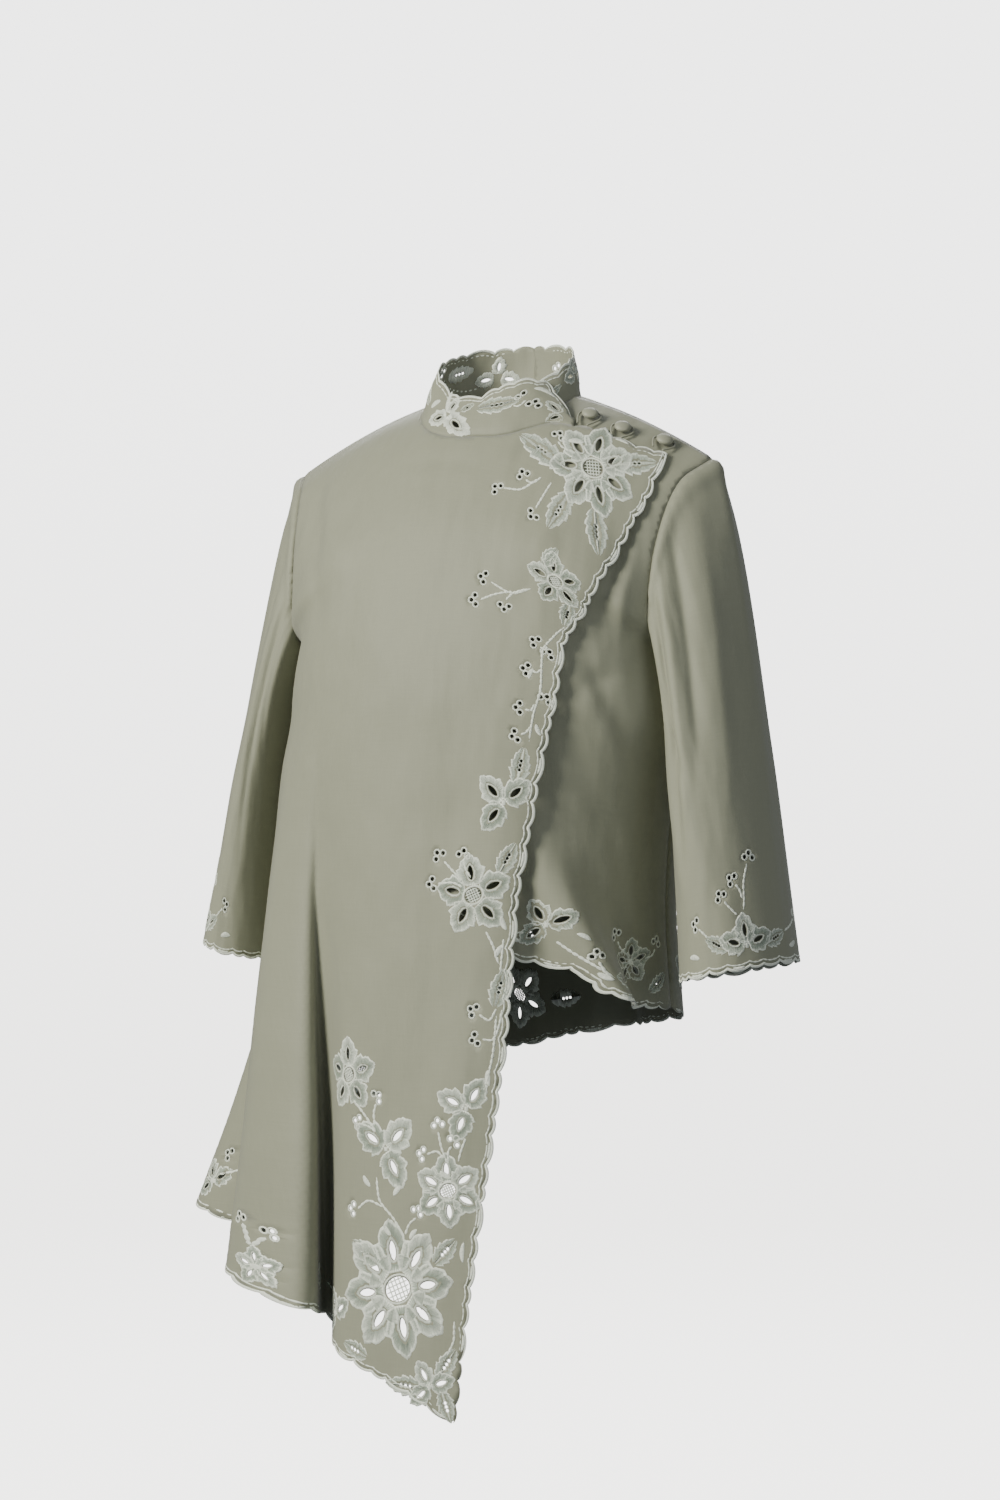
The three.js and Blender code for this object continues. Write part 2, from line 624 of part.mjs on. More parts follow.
function makeBack() {
  const ridge = SEAM_GAP / 2;
  const edge = halfGap(0, BACK_ROWS);
  const turns = [...TURNS_BACK];
  turns[0] += 0.01;
  const half = turns.map(neckColumn);
  const neckEnd = half[0].around;
  const shares = [0, 0.2, 0.4, 0.6, 0.8];
  const columns = shares.map((share) => ({ around: lerp(1 + edge, neckEnd, share), level: ridge }));
  columns.push(...half.slice(0, -1), { around: 2, level: NECK_DROP_BACK });
  const mirrored = columns.slice(0, -1).reverse();
  for (const column of mirrored) columns.push({ around: 4 - column.around, level: column.level });
  const edges = {
    around: (share, level) => lerp(1 + halfGap(level, BACK_ROWS), 3 - halfGap(level, BACK_ROWS), share),
    bottom: (share) => {
      const around = lerp(1, 3, share);
      if (around > 2) return along(HEM, 'around', 'level', around - 4);
      return along(UNDER_HEM, 'around', 'level', around);
    },
  };
  return panelSolid('back', columns, edges);
}

// ---- sleeves ----
// The panel edge that a sleeve is sewn to, at a place round the armhole.
function armholePoint(cuff, round, out) {
  const front = round <= 0.5;
  const level = UNDERARM_LEVEL * 2 * (front ? round : 1 - round);
  const frontPanel = cuff.side < 0 ? SURFACES.right_front : SURFACES.left_front;
  return (front ? frontPanel : SURFACES.back)(cuff.side, Math.max(level, SEAM_GAP / 2), out);
}

function sleevePoint(cuff, round, share, out) {
  const side = cuff.side;
  const start = armholePoint(cuff, round, 0);
  const get = (column) => along(SLEEVE_OUT, 'round', column, round);
  const angle = round * 2 * Math.PI;
  const first = start.clone().add(vec(side * get('outX'), get('outY'), get('outZ')));
  const end = vec(
    side * (cuff.x + cuff.halfWidth * Math.cos(angle)),
    cuff.y - cuff.halfDepth * Math.sin(angle),
    cuff.z + cuff.tilt * Math.cos(angle),
  );
  const lean = lerp(cuff.leanIn, cuff.leanOut, (1 + Math.cos(angle)) / 2);
  const second = end.clone().add(vec(-side * lean, cuff.leanY, cuff.rise));
  return bezier(start, first, second, end, share).addScaledVector(out, 1);
}

function sleeveNormal(cuff, round, share) {
  const none = vec(0, 0, 0);
  const turnStep = 0.004;
  const wrapRound = (value) => value - Math.floor(value);
  const a = sleevePoint(cuff, wrapRound(round + turnStep), share, none);
  const b = sleevePoint(cuff, wrapRound(round - turnStep), share, none);
  const low = sleevePoint(cuff, round, Math.min(share + 0.01, 1), none);
  const high = sleevePoint(cuff, round, Math.max(share - 0.01, 0), none);
  const normal = low.sub(high).cross(a.sub(b)).normalize();
  return cuff.side > 0 ? normal.negate() : normal;
}

function sleeveWall(cuff, roundFrom, roundTo, rowCount) {
  const none = vec(0, 0, 0);
  const inner = [];
  const outer = [];
  for (let i = 0; i <= ROWS_TO_UNDERARM; i += 1) {
    const halfSeam = SEAM_GAP / 2 / ARMHOLE_LENGTH;
    const place = lerp(roundFrom, roundTo, i / ROWS_TO_UNDERARM);
    const round = clamp(place, roundFrom + halfSeam, roundTo - halfSeam);
    const seat = armholePoint(cuff, round, 0);
    const seatTop = armholePoint(cuff, round, WALL);
    const away = sleevePoint(cuff, round, 0.03, none).sub(seat);
    const thick = seatTop.clone().sub(seat).normalize();
    away.addScaledVector(thick, -away.dot(thick)).normalize();
    const innerColumn = [seat.addScaledVector(away, SEAM_GAP)];
    const outerColumn = [seatTop.addScaledVector(away, SEAM_GAP)];
    for (let j = 1; j <= rowCount; j += 1) {
      const share = Math.pow(j / rowCount, 0.92);
      const normal = sleeveNormal(cuff, round, share);
      innerColumn.push(sleevePoint(cuff, round, share, none));
      outerColumn.push(sleevePoint(cuff, round, share, normal.multiplyScalar(WALL)));
    }
    inner.push(innerColumn);
    outer.push(outerColumn);
  }
  return toSolid(wallGeometry(inner, outer));
}

function cuffPlugs(cuff) {
  return CUFF_SLITS.map((slit) => {
    const none = vec(0, 0, 0);
    const angle = (slit.angle * Math.PI) / 180;
    const centre = sleevePoint(cuff, slit.round, slit.along, none);
    const normal = sleeveNormal(cuff, slit.round, slit.along);
    const down = sleevePoint(cuff, slit.round, slit.along + 0.01, none);
    down.sub(sleevePoint(cuff, slit.round, slit.along - 0.01, none)).normalize();
    const sideways = normal.clone().cross(down).normalize();
    const direction = sideways.multiplyScalar(Math.cos(angle)).addScaledVector(down, -Math.sin(angle));
    return slitPlug(centre, direction.normalize(), normal, CUFF_SLIT_LENGTH, SLIT_WIDTH);
  });
}

// ---- collar ----
function collarColumn(turn, half, seatOut, topShare) {
  const place = half.placeOf(turn);
  const surface = half.surfaceOf(place.front);
  const seat = surface(place.around, place.level, 0);
  const seatTop = surface(place.around, place.level, WALL);
  const angle = (turn * Math.PI) / 180;
  const outward = vec(Math.sin(angle), -Math.cos(angle), 0);
  const radius = along(half.top, 'turn', 'radius', turn);
  const top = outward.clone().multiplyScalar(radius);
  top.y += COLLAR_MIDDLE_Y;
  top.z = along(half.top, 'turn', 'height', turn);
  const next = half.placeOf(turn + 0.5);
  const before = half.placeOf(turn - 0.5);
  const tangent = half.surfaceOf(next.front)(next.around, next.level, 0);
  tangent.sub(half.surfaceOf(before.front)(before.around, before.level, 0)).normalize();
  const thick = seatTop.clone().sub(seat).normalize();
  const inward = thick.clone().cross(tangent).normalize();
  if (inward.dot(outward) > 0) inward.negate();
  const lean = top.clone().sub(seat);
  const wallOut = outward.clone().addScaledVector(lean, -outward.dot(lean) / lean.lengthSq()).normalize();
  const inner = [seat.clone().addScaledVector(inward, SEAM_GAP)];
  const outer = [seatTop.clone().addScaledVector(inward, SEAM_GAP)];
  for (const share of [0.2, 0.6, 1]) {
    const height = lerp(0.12, topShare, (share - 0.2) / 0.8);
    const over = (0.9 * seatOut - 1.2) * (1 - height) * ease(height / 0.2);
    const bow = outward.clone().multiplyScalar(over + 1.5 * Math.sin(Math.PI * height));
    const point = seat.clone().lerp(top, height).add(bow);
    inner.push(point);
    outer.push(point.clone().addScaledVector(wallOut, WALL));
  }
  return { inner, outer };
}

function collarWall(turns, half, seatOut, topShare) {
  const inner = [];
  const outer = [];
  for (const turn of turns) {
    const column = collarColumn(turn, half, seatOut(turn), topShare(turn));
    inner.push(column.inner);
    outer.push(column.outer);
  }
  return toSolid(wallGeometry(inner, outer));
}

function makeCollarRight() {
  const half = {
    placeOf: lapNeckPlace,
    surfaceOf: (front) => (front ? SURFACES.right_front : SURFACES.back),
    top: COLLAR_RIGHT_TOP,
  };
  const backTurns = TURNS_BACK.slice(1).reverse().map((turn) => -turn);
  const seatOut = (turn) => OVERLAP_OFFSET * ease((turn + 30) / 40);
  const topShare = (turn) => 1 - 0.8 * ease((turn - 61) / 15);
  return collarWall([...backTurns, ...TURNS_RIGHT, ...TURNS_LAP], half, seatOut, topShare);
}

function makeCollarLeft() {
  const half = {
    placeOf: neckPlace,
    surfaceOf: (front) => (front ? SURFACES.left_front : SURFACES.back),
    top: COLLAR_LEFT_TOP,
  };
  return collarWall([...TURNS_LAP, ...TURNS_BACK], half, () => 0, () => 1);
}

// ---- buttons and loops ----
function framed(geometry, origin, normal, downwards) {
  const zAxis = normal.clone().normalize();
  const yAxis = downwards.clone().addScaledVector(zAxis, -downwards.dot(zAxis)).normalize().negate();
  const xAxis = yAxis.clone().cross(zAxis);
  const matrix = new THREE.Matrix4().makeBasis(xAxis, yAxis, zAxis).setPosition(origin);
  return geometry.applyMatrix4(matrix);
}

function buttonFrame(button) {
  const around = frontShare(button.across, button.level);
  const foot = SURFACES.left_front(around, button.level, WALL);
  const normal = bodyNormal(around, button.level, true);
  const down = SURFACES.left_front(around, button.level + 4, WALL).sub(foot);
  return { foot, normal, down };
}

function makeButton(button) {
  const frame = buttonFrame(button);
  const profile = [new THREE.Vector2(0, 0)];
  const steps = 4;
  for (let i = 0; i <= steps; i += 1) {
    const angle = (i / steps) * (Math.PI / 2);
    const height = 1.2 + (BUTTON_HEIGHT - 1.2) * Math.sin(angle);
    profile.push(new THREE.Vector2(BUTTON_RADIUS * Math.cos(angle), height));
  }
  profile.splice(1, 0, new THREE.Vector2(BUTTON_RADIUS - 1, 0));
  profile[profile.length - 1].x = 0;
  const geometry = new THREE.LatheGeometry(profile, 14);
  geometry.rotateX(Math.PI / 2);
  const origin = frame.foot.clone().addScaledVector(frame.normal, BUTTON_LIFT);
  return framed(geometry, origin, frame.normal, frame.down);
}

// A loop comes from the over panel's edge, round the button and back.
function makeLoop(button) {
  const frame = buttonFrame(button);
  const foot = button.level - along(SHOULDER_EDGE, 'across', 'level', button.across) + 0.8;
  const legs = Math.min(foot / 2, -4);
  const points = [vec(-4.4, foot, 0), vec(-7.6, legs, 0)];
  for (let i = 0; i <= 8; i += 1) {
    const angle = Math.PI * (1 - i / 8);
    points.push(vec(LOOP_RADIUS * Math.cos(angle), LOOP_RADIUS * 0.92 * Math.sin(angle), 0));
  }
  points.push(vec(7.6, legs, 0), vec(4.4, foot, 0));
  const path = new THREE.CatmullRomCurve3(points);
  const section = new THREE.Shape();
  section.absarc(0, 0, LOOP_CORD, 0, Math.PI * 2, false);
  const geometry = new THREE.ExtrudeGeometry(section, { steps: 14, curveSegments: 3, extrudePath: path });
  const origin = frame.foot.clone().addScaledVector(frame.normal, LOOP_LIFT + LOOP_CORD);
  return framed(geometry, origin, frame.normal, frame.down);
}

// ---- scene graph ----
const garment = new THREE.Group();
garment.name = 'jacket';

function addMesh(name, geometry, look) {
  const mesh = new THREE.Mesh(geometry, new THREE.MeshStandardMaterial(look));
  mesh.name = name;
  garment.add(mesh);
}

addMesh('right_front', fromSolid(makeRightFront()), CLOTH);
addMesh('left_front', fromSolid(makeLeftFront()), CLOTH);
addMesh('back', fromSolid(makeBack()), CLOTH);
addMesh('collar_right', fromSolid(makeCollarRight()), CLOTH);
addMesh('collar_left', fromSolid(makeCollarLeft()), CLOTH);
for (const [name, cuff] of Object.entries(CUFFS)) {
  const frontHalf = cutSlits(sleeveWall(cuff, 0, 0.5, SLEEVE_ROWS), cuffPlugs(cuff));
  addMesh(`${name}_sleeve_front`, fromSolid(frontHalf), CLOTH);
  addMesh(`${name}_sleeve_back`, fromSolid(sleeveWall(cuff, 0.5, 1, SLEEVE_ROWS)), CLOTH);
}
BUTTONS.forEach((button, i) => {
  addMesh(`button_${i + 1}`, makeButton(button), COVERED);
  addMesh(`loop_${i + 1}`, makeLoop(button), COVERED);
});

export default garment;
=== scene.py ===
import math

import bmesh
import bpy
import numpy as np
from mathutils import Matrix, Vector
from mathutils.geometry import delaunay_2d_cdt
from mathutils.kdtree import KDTree


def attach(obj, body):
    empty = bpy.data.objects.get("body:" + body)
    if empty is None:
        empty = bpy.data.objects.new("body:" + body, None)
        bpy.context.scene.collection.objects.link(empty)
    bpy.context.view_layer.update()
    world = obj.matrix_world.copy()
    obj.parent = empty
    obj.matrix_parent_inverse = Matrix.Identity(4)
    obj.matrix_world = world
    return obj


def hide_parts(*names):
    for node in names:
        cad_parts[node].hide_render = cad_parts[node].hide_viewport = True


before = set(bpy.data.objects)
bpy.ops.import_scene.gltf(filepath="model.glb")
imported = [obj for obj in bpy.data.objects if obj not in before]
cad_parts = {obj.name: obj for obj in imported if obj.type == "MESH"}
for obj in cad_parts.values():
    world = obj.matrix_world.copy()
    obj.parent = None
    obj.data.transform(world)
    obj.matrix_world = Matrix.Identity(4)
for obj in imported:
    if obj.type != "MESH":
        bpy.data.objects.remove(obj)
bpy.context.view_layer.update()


# ---- The view ----
# The jacket is worn upright and seen from the wearer's left front, at waist height and through a long lens.
VIEW_TURN = math.radians(28)
VIEW_DISTANCE = 3.0
VIEW_HEIGHT = -0.29
VIEW_LENS = 84.96

look = Vector((-math.sin(VIEW_TURN), math.cos(VIEW_TURN), 0))
camera = bpy.data.objects.new("camera", bpy.data.cameras.new("camera"))
camera.data.lens = VIEW_LENS
camera.location = Vector((0, 0, VIEW_HEIGHT)) - look * VIEW_DISTANCE
camera.rotation_euler = look.to_track_quat("-Z", "Y").to_euler()
bpy.context.scene.collection.objects.link(camera)
bpy.context.scene.camera = camera


# ---- The over panel ----
# The long right front of sage cotton sateen. It is cut flat, worked with cutwork flowers, and worn over the
# bust from the right side seam to the left shoulder. Patterns are in millimetres: across is the distance from
# the centre front towards the wearer's left, level the distance down from the shoulder line.
MM = 0.001
CLOTH_OUT = 0.8
CLOTH_THICKNESS = 0.5
NECK_HALF_WIDTH = 67
NECK_DROP = {"front": 80, "back": 56}
OVERLAP = 3.2
RIGHT_SEAM = 728
LAP_CORNER = 26
LOWEST_POINT = 889
HEM_SPAN = 1.14
# around where the over panel starts to lie over the under one, and how far it takes to get there
LAP_START = -0.42
LAP_WIDTH = 0.3
EDGE_LIFT_WIDTH = 70
# a row's usual length from the middle to the side
HALF_ROW = 190
# the part of a row's length over which directions round the body are measured
NEAR = 0.004

# level, cy, cz, ox, oy, oz, reach, hx, hy, hz: a row's middle point, its side point and its two handles
FRONT_ROWS = np.array([
    [0, 11, 16, 196, 4, -50, 60, 126, 6, -8],
    [35, -26, 0, 181, -27, -70, 64, 126, -32, -30],
    [75, -57, -28, 174, -46, -102, 68, 132, -64, -66],
    [120, -85, -68, 170, -57, -140, 74, 134, -90, -108],
    [170, -109, -113, 168, -60, -182, 84, 140, -112, -158],
    [220, -123, -160, 171, 0, -226, 92, 166, -112, -204],
    [290, -136, -228, 175, 0, -272, 100, 178, -100, -256],
    [360, -141, -298, 164, 4, -312, 96, 168, -92, -306],
    [420, -144, -361, 156, 4, -361, 88, 158, -88, -361],
    [480, -147, -421, 153, 4, -421, 86, 154, -86, -421],
    [560, -150, -501, 158, 4, -501, 88, 160, -86, -501],
    [700, -154, -641, 168, 4, -641, 92, 170, -88, -641],
    [940, -158, -881, 178, 4, -881, 98, 180, -92, -881],
], float)
BACK_ROWS = np.array([
    [0, 11, 16, 196, 4, -50, 60, 126, 6, -8],
    [35, 46, 19, 187, 26, -62, 62, 130, 32, -20],
    [75, 78, 4, 179, 42, -92, 66, 136, 62, -52],
    [120, 97, -36, 174, 52, -132, 72, 134, 86, -98],
    [170, 104, -84, 168, 46, -182, 82, 140, 100, -150],
    [220, 109, -134, 171, 0, -226, 92, 166, 90, -202],
    [290, 110, -208, 175, 0, -272, 100, 178, 80, -252],
    [360, 106, -283, 164, 4, -312, 96, 168, 72, -300],
    [420, 102, -361, 156, 4, -361, 88, 158, 66, -361],
    [480, 104, -421, 153, 4, -421, 86, 154, 66, -421],
    [560, 112, -501, 158, 4, -501, 88, 160, 70, -501],
    [700, 122, -641, 168, 4, -641, 92, 170, 76, -641],
    [940, 130, -881, 178, 4, -881, 98, 180, 80, -881],
], float)
# level, how much further the right side stands out
RIGHT_EXTRA = np.array([
    [0, 0], [220, 1], [290, 3], [360, 26], [420, 43], [480, 50], [560, 46], [700, 34], [940, 26],
], float)
# around at the start, around at level 900, start level, growth, width
BODY_FOLDS = [
    (-0.51, -0.63, 320, 0.105, 0.11), (-0.31, -0.42, 320, -0.065, 0.11), (-0.77, -0.77, 420, -0.08, 0.06),
    (-0.9, -0.92, 500, 0.42, 0.13), (-1.35, -1.35, 380, 0.16, 0.12), (-1.75, -1.78, 340, 0.11, 0.1),
    (1.72, 1.76, 330, 0.1, 0.1), (1.42, 1.42, 360, 0.06, 0.1),
]
# The big front fold also leans over towards the left, so a deep shadow runs down beside it.
FOLD_LEANS = [(-0.41, -0.54, 310, 0.17, 0.055)]
# level, across
FREE_EDGE = np.array([
    [20, 177], [60, 177], [100, 168], [140, 158], [175, 146], [210, 134], [250, 120], [290, 116], [340, 107],
    [400, 96], [480, 84], [560, 80], [640, 72], [720, 62], [800, 52], [900, 42],
], float)
# level, lift of the free edge
EDGE_LIFT = np.array([[20, 0.3], [180, 1.5], [300, 5], [450, 10], [900, 4]], float)
# around, level
HEM = np.array([
    [-2, 598], [-1.5, 638], [-1, 728], [-0.86, 750], [-0.65, 785], [-0.5, 812], [-0.3, 838], [-0.12, 856],
    [0.03, 874], [0.14, 890],
], float)
# turn, across, level of the neckline where the lap leaves the neck
LAP_NECK = np.array([
    [6, 7, 80], [20, 23, 79], [34, 39, 74], [48, 56, 62.5], [62, 74, 50], [76, 91, 45.5],
], float)
# across, level
SHOULDER_EDGE = np.array([[91, 45.5], [114, 39.5], [130, 38], [147, 35], [163, 30], [177, 24]], float)


def follow(table, column, at):
    """Smooth curve through a table's column that never overshoots its rows; column 0 is the key."""
    key, value = table[:, 0], table[:, column]
    at = np.clip(at, key[0], key[-1])
    step = np.diff(key)
    rise = np.diff(value) / step
    before, after = rise[:-1], rise[1:]
    w1, w2 = 2 * step[1:] + step[:-1], step[1:] + 2 * step[:-1]
    turns = before * after <= 0
    slope = np.empty_like(value)
    slope[0], slope[-1] = rise[0], rise[-1]
    safe = [np.where(turns, 1, part) for part in (before, after)]
    slope[1:-1] = np.where(turns, 0, (w1 + w2) / (w1 / safe[0] + w2 / safe[1]))
    i = np.clip(np.searchsorted(key, at, side="right") - 1, 0, len(key) - 2)
    t = (at - key[i]) / step[i]
    start = value[i] * (2 * t**3 - 3 * t**2 + 1) + slope[i] * step[i] * (t**3 - 2 * t**2 + t)
    return start + value[i + 1] * (3 * t**2 - 2 * t**3) + slope[i + 1] * step[i] * (t**3 - t**2)


def ease(value):
    t = np.clip(value, 0, 1)
    return t * t * (3 - 2 * t)


def unit(vectors):
    return vectors / (np.linalg.norm(vectors, axis=-1, keepdims=True) + 1e-12)


def bezier(handles, t):
    t = np.asarray(t)[..., None]
    s = 1 - t
    return s**3 * handles[0] + 3 * s * s * t * handles[1] + 3 * s * t * t * handles[2] + t**3 * handles[3]


def chord_lengths(handles, steps=40):
    size = handles[0].shape[:-1]
    chain = np.stack([bezier(handles, np.full(size, k / steps)) for k in range(steps + 1)])
    chords = np.linalg.norm(np.diff(chain, axis=0), axis=-1)
    return np.concatenate([np.zeros((1, *size)), np.cumsum(chords, axis=0)])


def step_along(handles, share, steps=40):
    """The point at a share of a curve's own length."""
    lengths = chord_lengths(handles, steps)
    target = np.clip(share, 0, 1) * lengths[-1]
    i = np.clip((lengths[1:] < target).sum(axis=0), 0, steps - 1)[None]
    low, high = np.take_along_axis(lengths, i, 0)[0], np.take_along_axis(lengths, i + 1, 0)[0]
    return bezier(handles, (i[0] + (target - low) / (high - low)) / steps)


def row_handles(rows, level):
    level = np.maximum(level, 0)
    cy, cz, ox, oy, oz, reach, hx, hy, hz = (follow(rows, column, level) for column in range(1, 10))
    points = ((np.zeros_like(cy), cy, cz), (reach, cy, cz), (hx, hy, hz), (ox, oy, oz))
    return [np.stack(point, axis=-1) for point in points]


def row_length(rows, level):
    return chord_lengths(row_handles(rows, np.asarray(level, float)))[-1]


def wrap(around):
    return around - 4 * np.floor((around + 2) / 4)


def base_point(rows, around, level):
    """A point of the worn body before its folds; around is 0 at the centre front, 1 at the left side."""
    turn = wrap(around)
    share = np.abs(turn) if rows is FRONT_ROWS else 2 - np.abs(turn)
    handles = row_handles(rows, level)
    point = step_along(handles, share)
    wider = 1 + follow(RIGHT_EXTRA, 1, level) / handles[3][..., 0]
    point[..., 0] *= np.where(turn < 0, -wider, 1)
    return point


def base_normal(rows, around, level):
    turn = wrap(around)
    at_seam = np.abs(np.abs(turn) - 1) < NEAR
    inward = -NEAR if rows is FRONT_ROWS else NEAR
    turn = turn + np.where(at_seam, np.sign(turn) * inward, 0)
    down = base_point(rows, turn, level + 1) - base_point(rows, turn, np.maximum(level - 1, 0))
    return unit(np.cross(down, base_point(rows, turn + NEAR, level) - base_point(rows, turn - NEAR, level)))


def body_normal(rows, around, level):
    """Front and back share one normal at the shoulder and side seams."""
    others = BACK_ROWS if rows is FRONT_ROWS else FRONT_ROWS
    turn = wrap(around)
    over_ridge = np.where(turn < 0, -2, 2) - turn
    normal = base_normal(rows, around, level)
    ridge = 0.5 * (1 - np.clip(level / 20, 0, 1))[..., None]
    normal = normal + (base_normal(others, over_ridge, level * 0) - normal) * ridge
    near_side = 1 - np.clip(np.abs(np.abs(turn) - 1) / 0.08, 0, 1)
    side = (0.5 * near_side * ease((level - 200) / 20))[..., None]
    return unit(normal + (base_normal(others, over_ridge, level) - normal) * side)


def body_point(rows, around, level, depth):
    return base_point(rows, around, level) + body_normal(rows, around, level) * depth[..., None]


def fold_depth(folds, around, level):
    depth = np.zeros_like(level)
    for middle, middle_low, start, growth, width in folds:
        below = np.maximum(level - start, 0)
        at = middle + (middle_low - middle) * np.clip(below / (900 - start), 0, 1)
        depth += growth * below**2 / (below + 60) * np.exp(-(((wrap(around) - at) / width) ** 2))
    return depth


def crease_depth(creases, across, level):
    """Small folds, each from one pattern point to another with a depth (inwards below 0) and a width."""
    depth = np.zeros_like(across)
    for x0, y0, x1, y1, deep, wide in creases:
        dx, dy = x1 - x0, y1 - y0
        share = ((across - x0) * dx + (level - y0) * dy) / (dx * dx + dy * dy)
        away = ((across - x0) * dy - (level - y0) * dx) / math.hypot(dx, dy)
        depth += deep * np.exp(-((away / wide) ** 2) - (np.abs(2 * share - 1) / 0.85) ** 4)
    return depth


# Drag lines at the bust, the armhole and the neck, and the long seam down the right of the body.
OVER_CREASES = [
    (-172, 30, -112, 235, -3.0, 11), (-150, 60, -88, 190, 1.6, 10), (-96, 330, -90, 520, -1.2, 3),
    (-60, 96, 30, 108, -1.2, 7), (30, 92, 110, 60, -1.0, 6), (-40, 300, 60, 330, 0.9, 24),
    (-20, 420, 60, 390, -0.9, 20), (40, 560, 10, 760, 1.6, 22), (-20, 600, -46, 830, -1.6, 16),
    (64, 600, 40, 850, -1.2, 12), (120, 170, 60, 250, -1.2, 16), (-118, 250, -30, 300, -0.9, 18),
]


def over_offset(around, level):
    edge = follow(FREE_EDGE, 1, level)
    across = wrap(around) * row_length(FRONT_ROWS, level)
    lift = follow(EDGE_LIFT, 1, level)
    over_edge = lift * ease((across - edge + EDGE_LIFT_WIDTH) / EDGE_LIFT_WIDTH)
    return OVERLAP * ease((wrap(around) - LAP_START) / LAP_WIDTH) + over_edge


def wear_over(across, level, out):
    """Puts the over panel's pattern points on the body."""
    across, level = np.asarray(across, float), np.asarray(level, float)
    around = across / row_length(FRONT_ROWS, level)
    depth = fold_depth(BODY_FOLDS, around, level) + over_offset(around, level)
    depth = depth + crease_depth(OVER_CREASES, across, level) - seam_dip(1 - np.abs(around), level) + out
    left, right = (base_point(FRONT_ROWS, around + step, level) for step in (NEAR, -NEAR))
    lean = unit(left - right) * fold_depth(FOLD_LEANS, around, level)[..., None]
    return body_point(FRONT_ROWS, around, level, depth) + lean


def seam_dip(from_side, level):
    """The cloth sinks a little into its armhole, side and shoulder seams."""
    armhole = np.exp(-((from_side * HALF_ROW / 2.2) ** 2)) * 1.1
    shoulder = np.exp(-((level / 2.0) ** 2)) * 0.7
    return armhole + shoulder


def points_at(across, level):
    """Pattern points; one of the two may be a single number for all."""
    return np.stack(np.broadcast_arrays(across, level), axis=1)


def line_lengths(path):
    """How far along a line each of its points lies."""
    return np.concatenate([[0], np.cumsum(np.linalg.norm(np.diff(path, axis=0), axis=1))])


def resample(path, step):
    """The same open line in even steps."""
    lengths = line_lengths(path)
    at = np.linspace(0, lengths[-1], max(2, round(lengths[-1] / step) + 1))
    return np.stack([np.interp(at, lengths, path[:, k]) for k in range(2)], axis=1)


def smooth_line(points, step):
    """A rounded line through a few points."""
    points = np.array(points, float)
    key = line_lengths(points)
    at = np.linspace(0, key[-1], 40)
    lines = [follow(np.stack([key, points[:, k]], axis=1), 1, at) for k in range(2)]
    return resample(np.stack(lines, axis=1), step)


def sideways(path):
    """Unit directions across a line, to its right."""
    along_it = unit(np.gradient(path, axis=0))
    return np.stack([along_it[:, 1], -along_it[:, 0]], axis=1)


SCALLOP_LENGTHS = [21, 14, 26, 17, 12, 30, 18, 23, 13, 19, 28, 15]
SCALLOP_DEPTH = 3.4
SCALLOP_STEP = 1.5
WIDE_SCALLOP = 22
INNER_CORD_IN = 3.6


def scallops(path, outward, first):
    """A scalloped edge along a line: the cut edge, the inner cord's line, and each wide scallop's middle."""
    path = resample(path, SCALLOP_STEP)
    away = sideways(path) * outward
    lengths = np.arange(len(path)) * SCALLOP_STEP
    ends = [0.0]
    k = first
    while ends[-1] < lengths[-1]:
        ends.append(ends[-1] + SCALLOP_LENGTHS[k % len(SCALLOP_LENGTHS)])
        k += 1
    ends = np.array(ends) * lengths[-1] / ends[-1]
    i = np.clip(np.searchsorted(ends, lengths, side="right") - 1, 0, len(ends) - 2)
    t = (lengths - ends[i]) / (ends[i + 1] - ends[i])
    bulge = np.abs(np.sin(np.pi * t)) ** 0.7
    reach = SCALLOP_DEPTH * np.clip((ends[i + 1] - ends[i]) / WIDE_SCALLOP, 0.6, 1.2)
    cut = path + away * (reach * (bulge - 0.55))[:, None]
    inner = path + away * (0.7 * reach * (bulge - 0.55) - INNER_CORD_IN)[:, None]
    middles = []
    for start, end in zip(ends[:-1], ends[1:]):
        if end - start > WIDE_SCALLOP:
            n = int((start + end) / 2 / SCALLOP_STEP)
            tangent = path[min(n + 1, len(path) - 1)] - path[n - 1]
            angle = math.degrees(math.atan2(-tangent[1], tangent[0]))
            middles.append((path[n] - away[n] * 1.2, angle, end - start))
    return cut, inner, middles


def inside(ring, points):
    """Which points lie in a closed ring."""
    x, y = points[:, 0], points[:, 1]
    hit = np.zeros(len(points), bool)
    for (ax, ay), (bx, by) in zip(ring, np.roll(ring, -1, axis=0)):
        if ay != by:
            hit ^= ((ay > y) != (by > y)) & (x < (bx - ax) * (y - ay) / (by - ay) + ax)
    return hit


def in_holes(holes, points):
    hit = np.zeros(len(points), bool)
    for hole in holes:
        low, high = hole.min(axis=0), hole.max(axis=0)
        near = np.where(((points > low) & (points < high)).all(axis=1))[0]
        hit[near] |= inside(hole, points[near])
    return hit


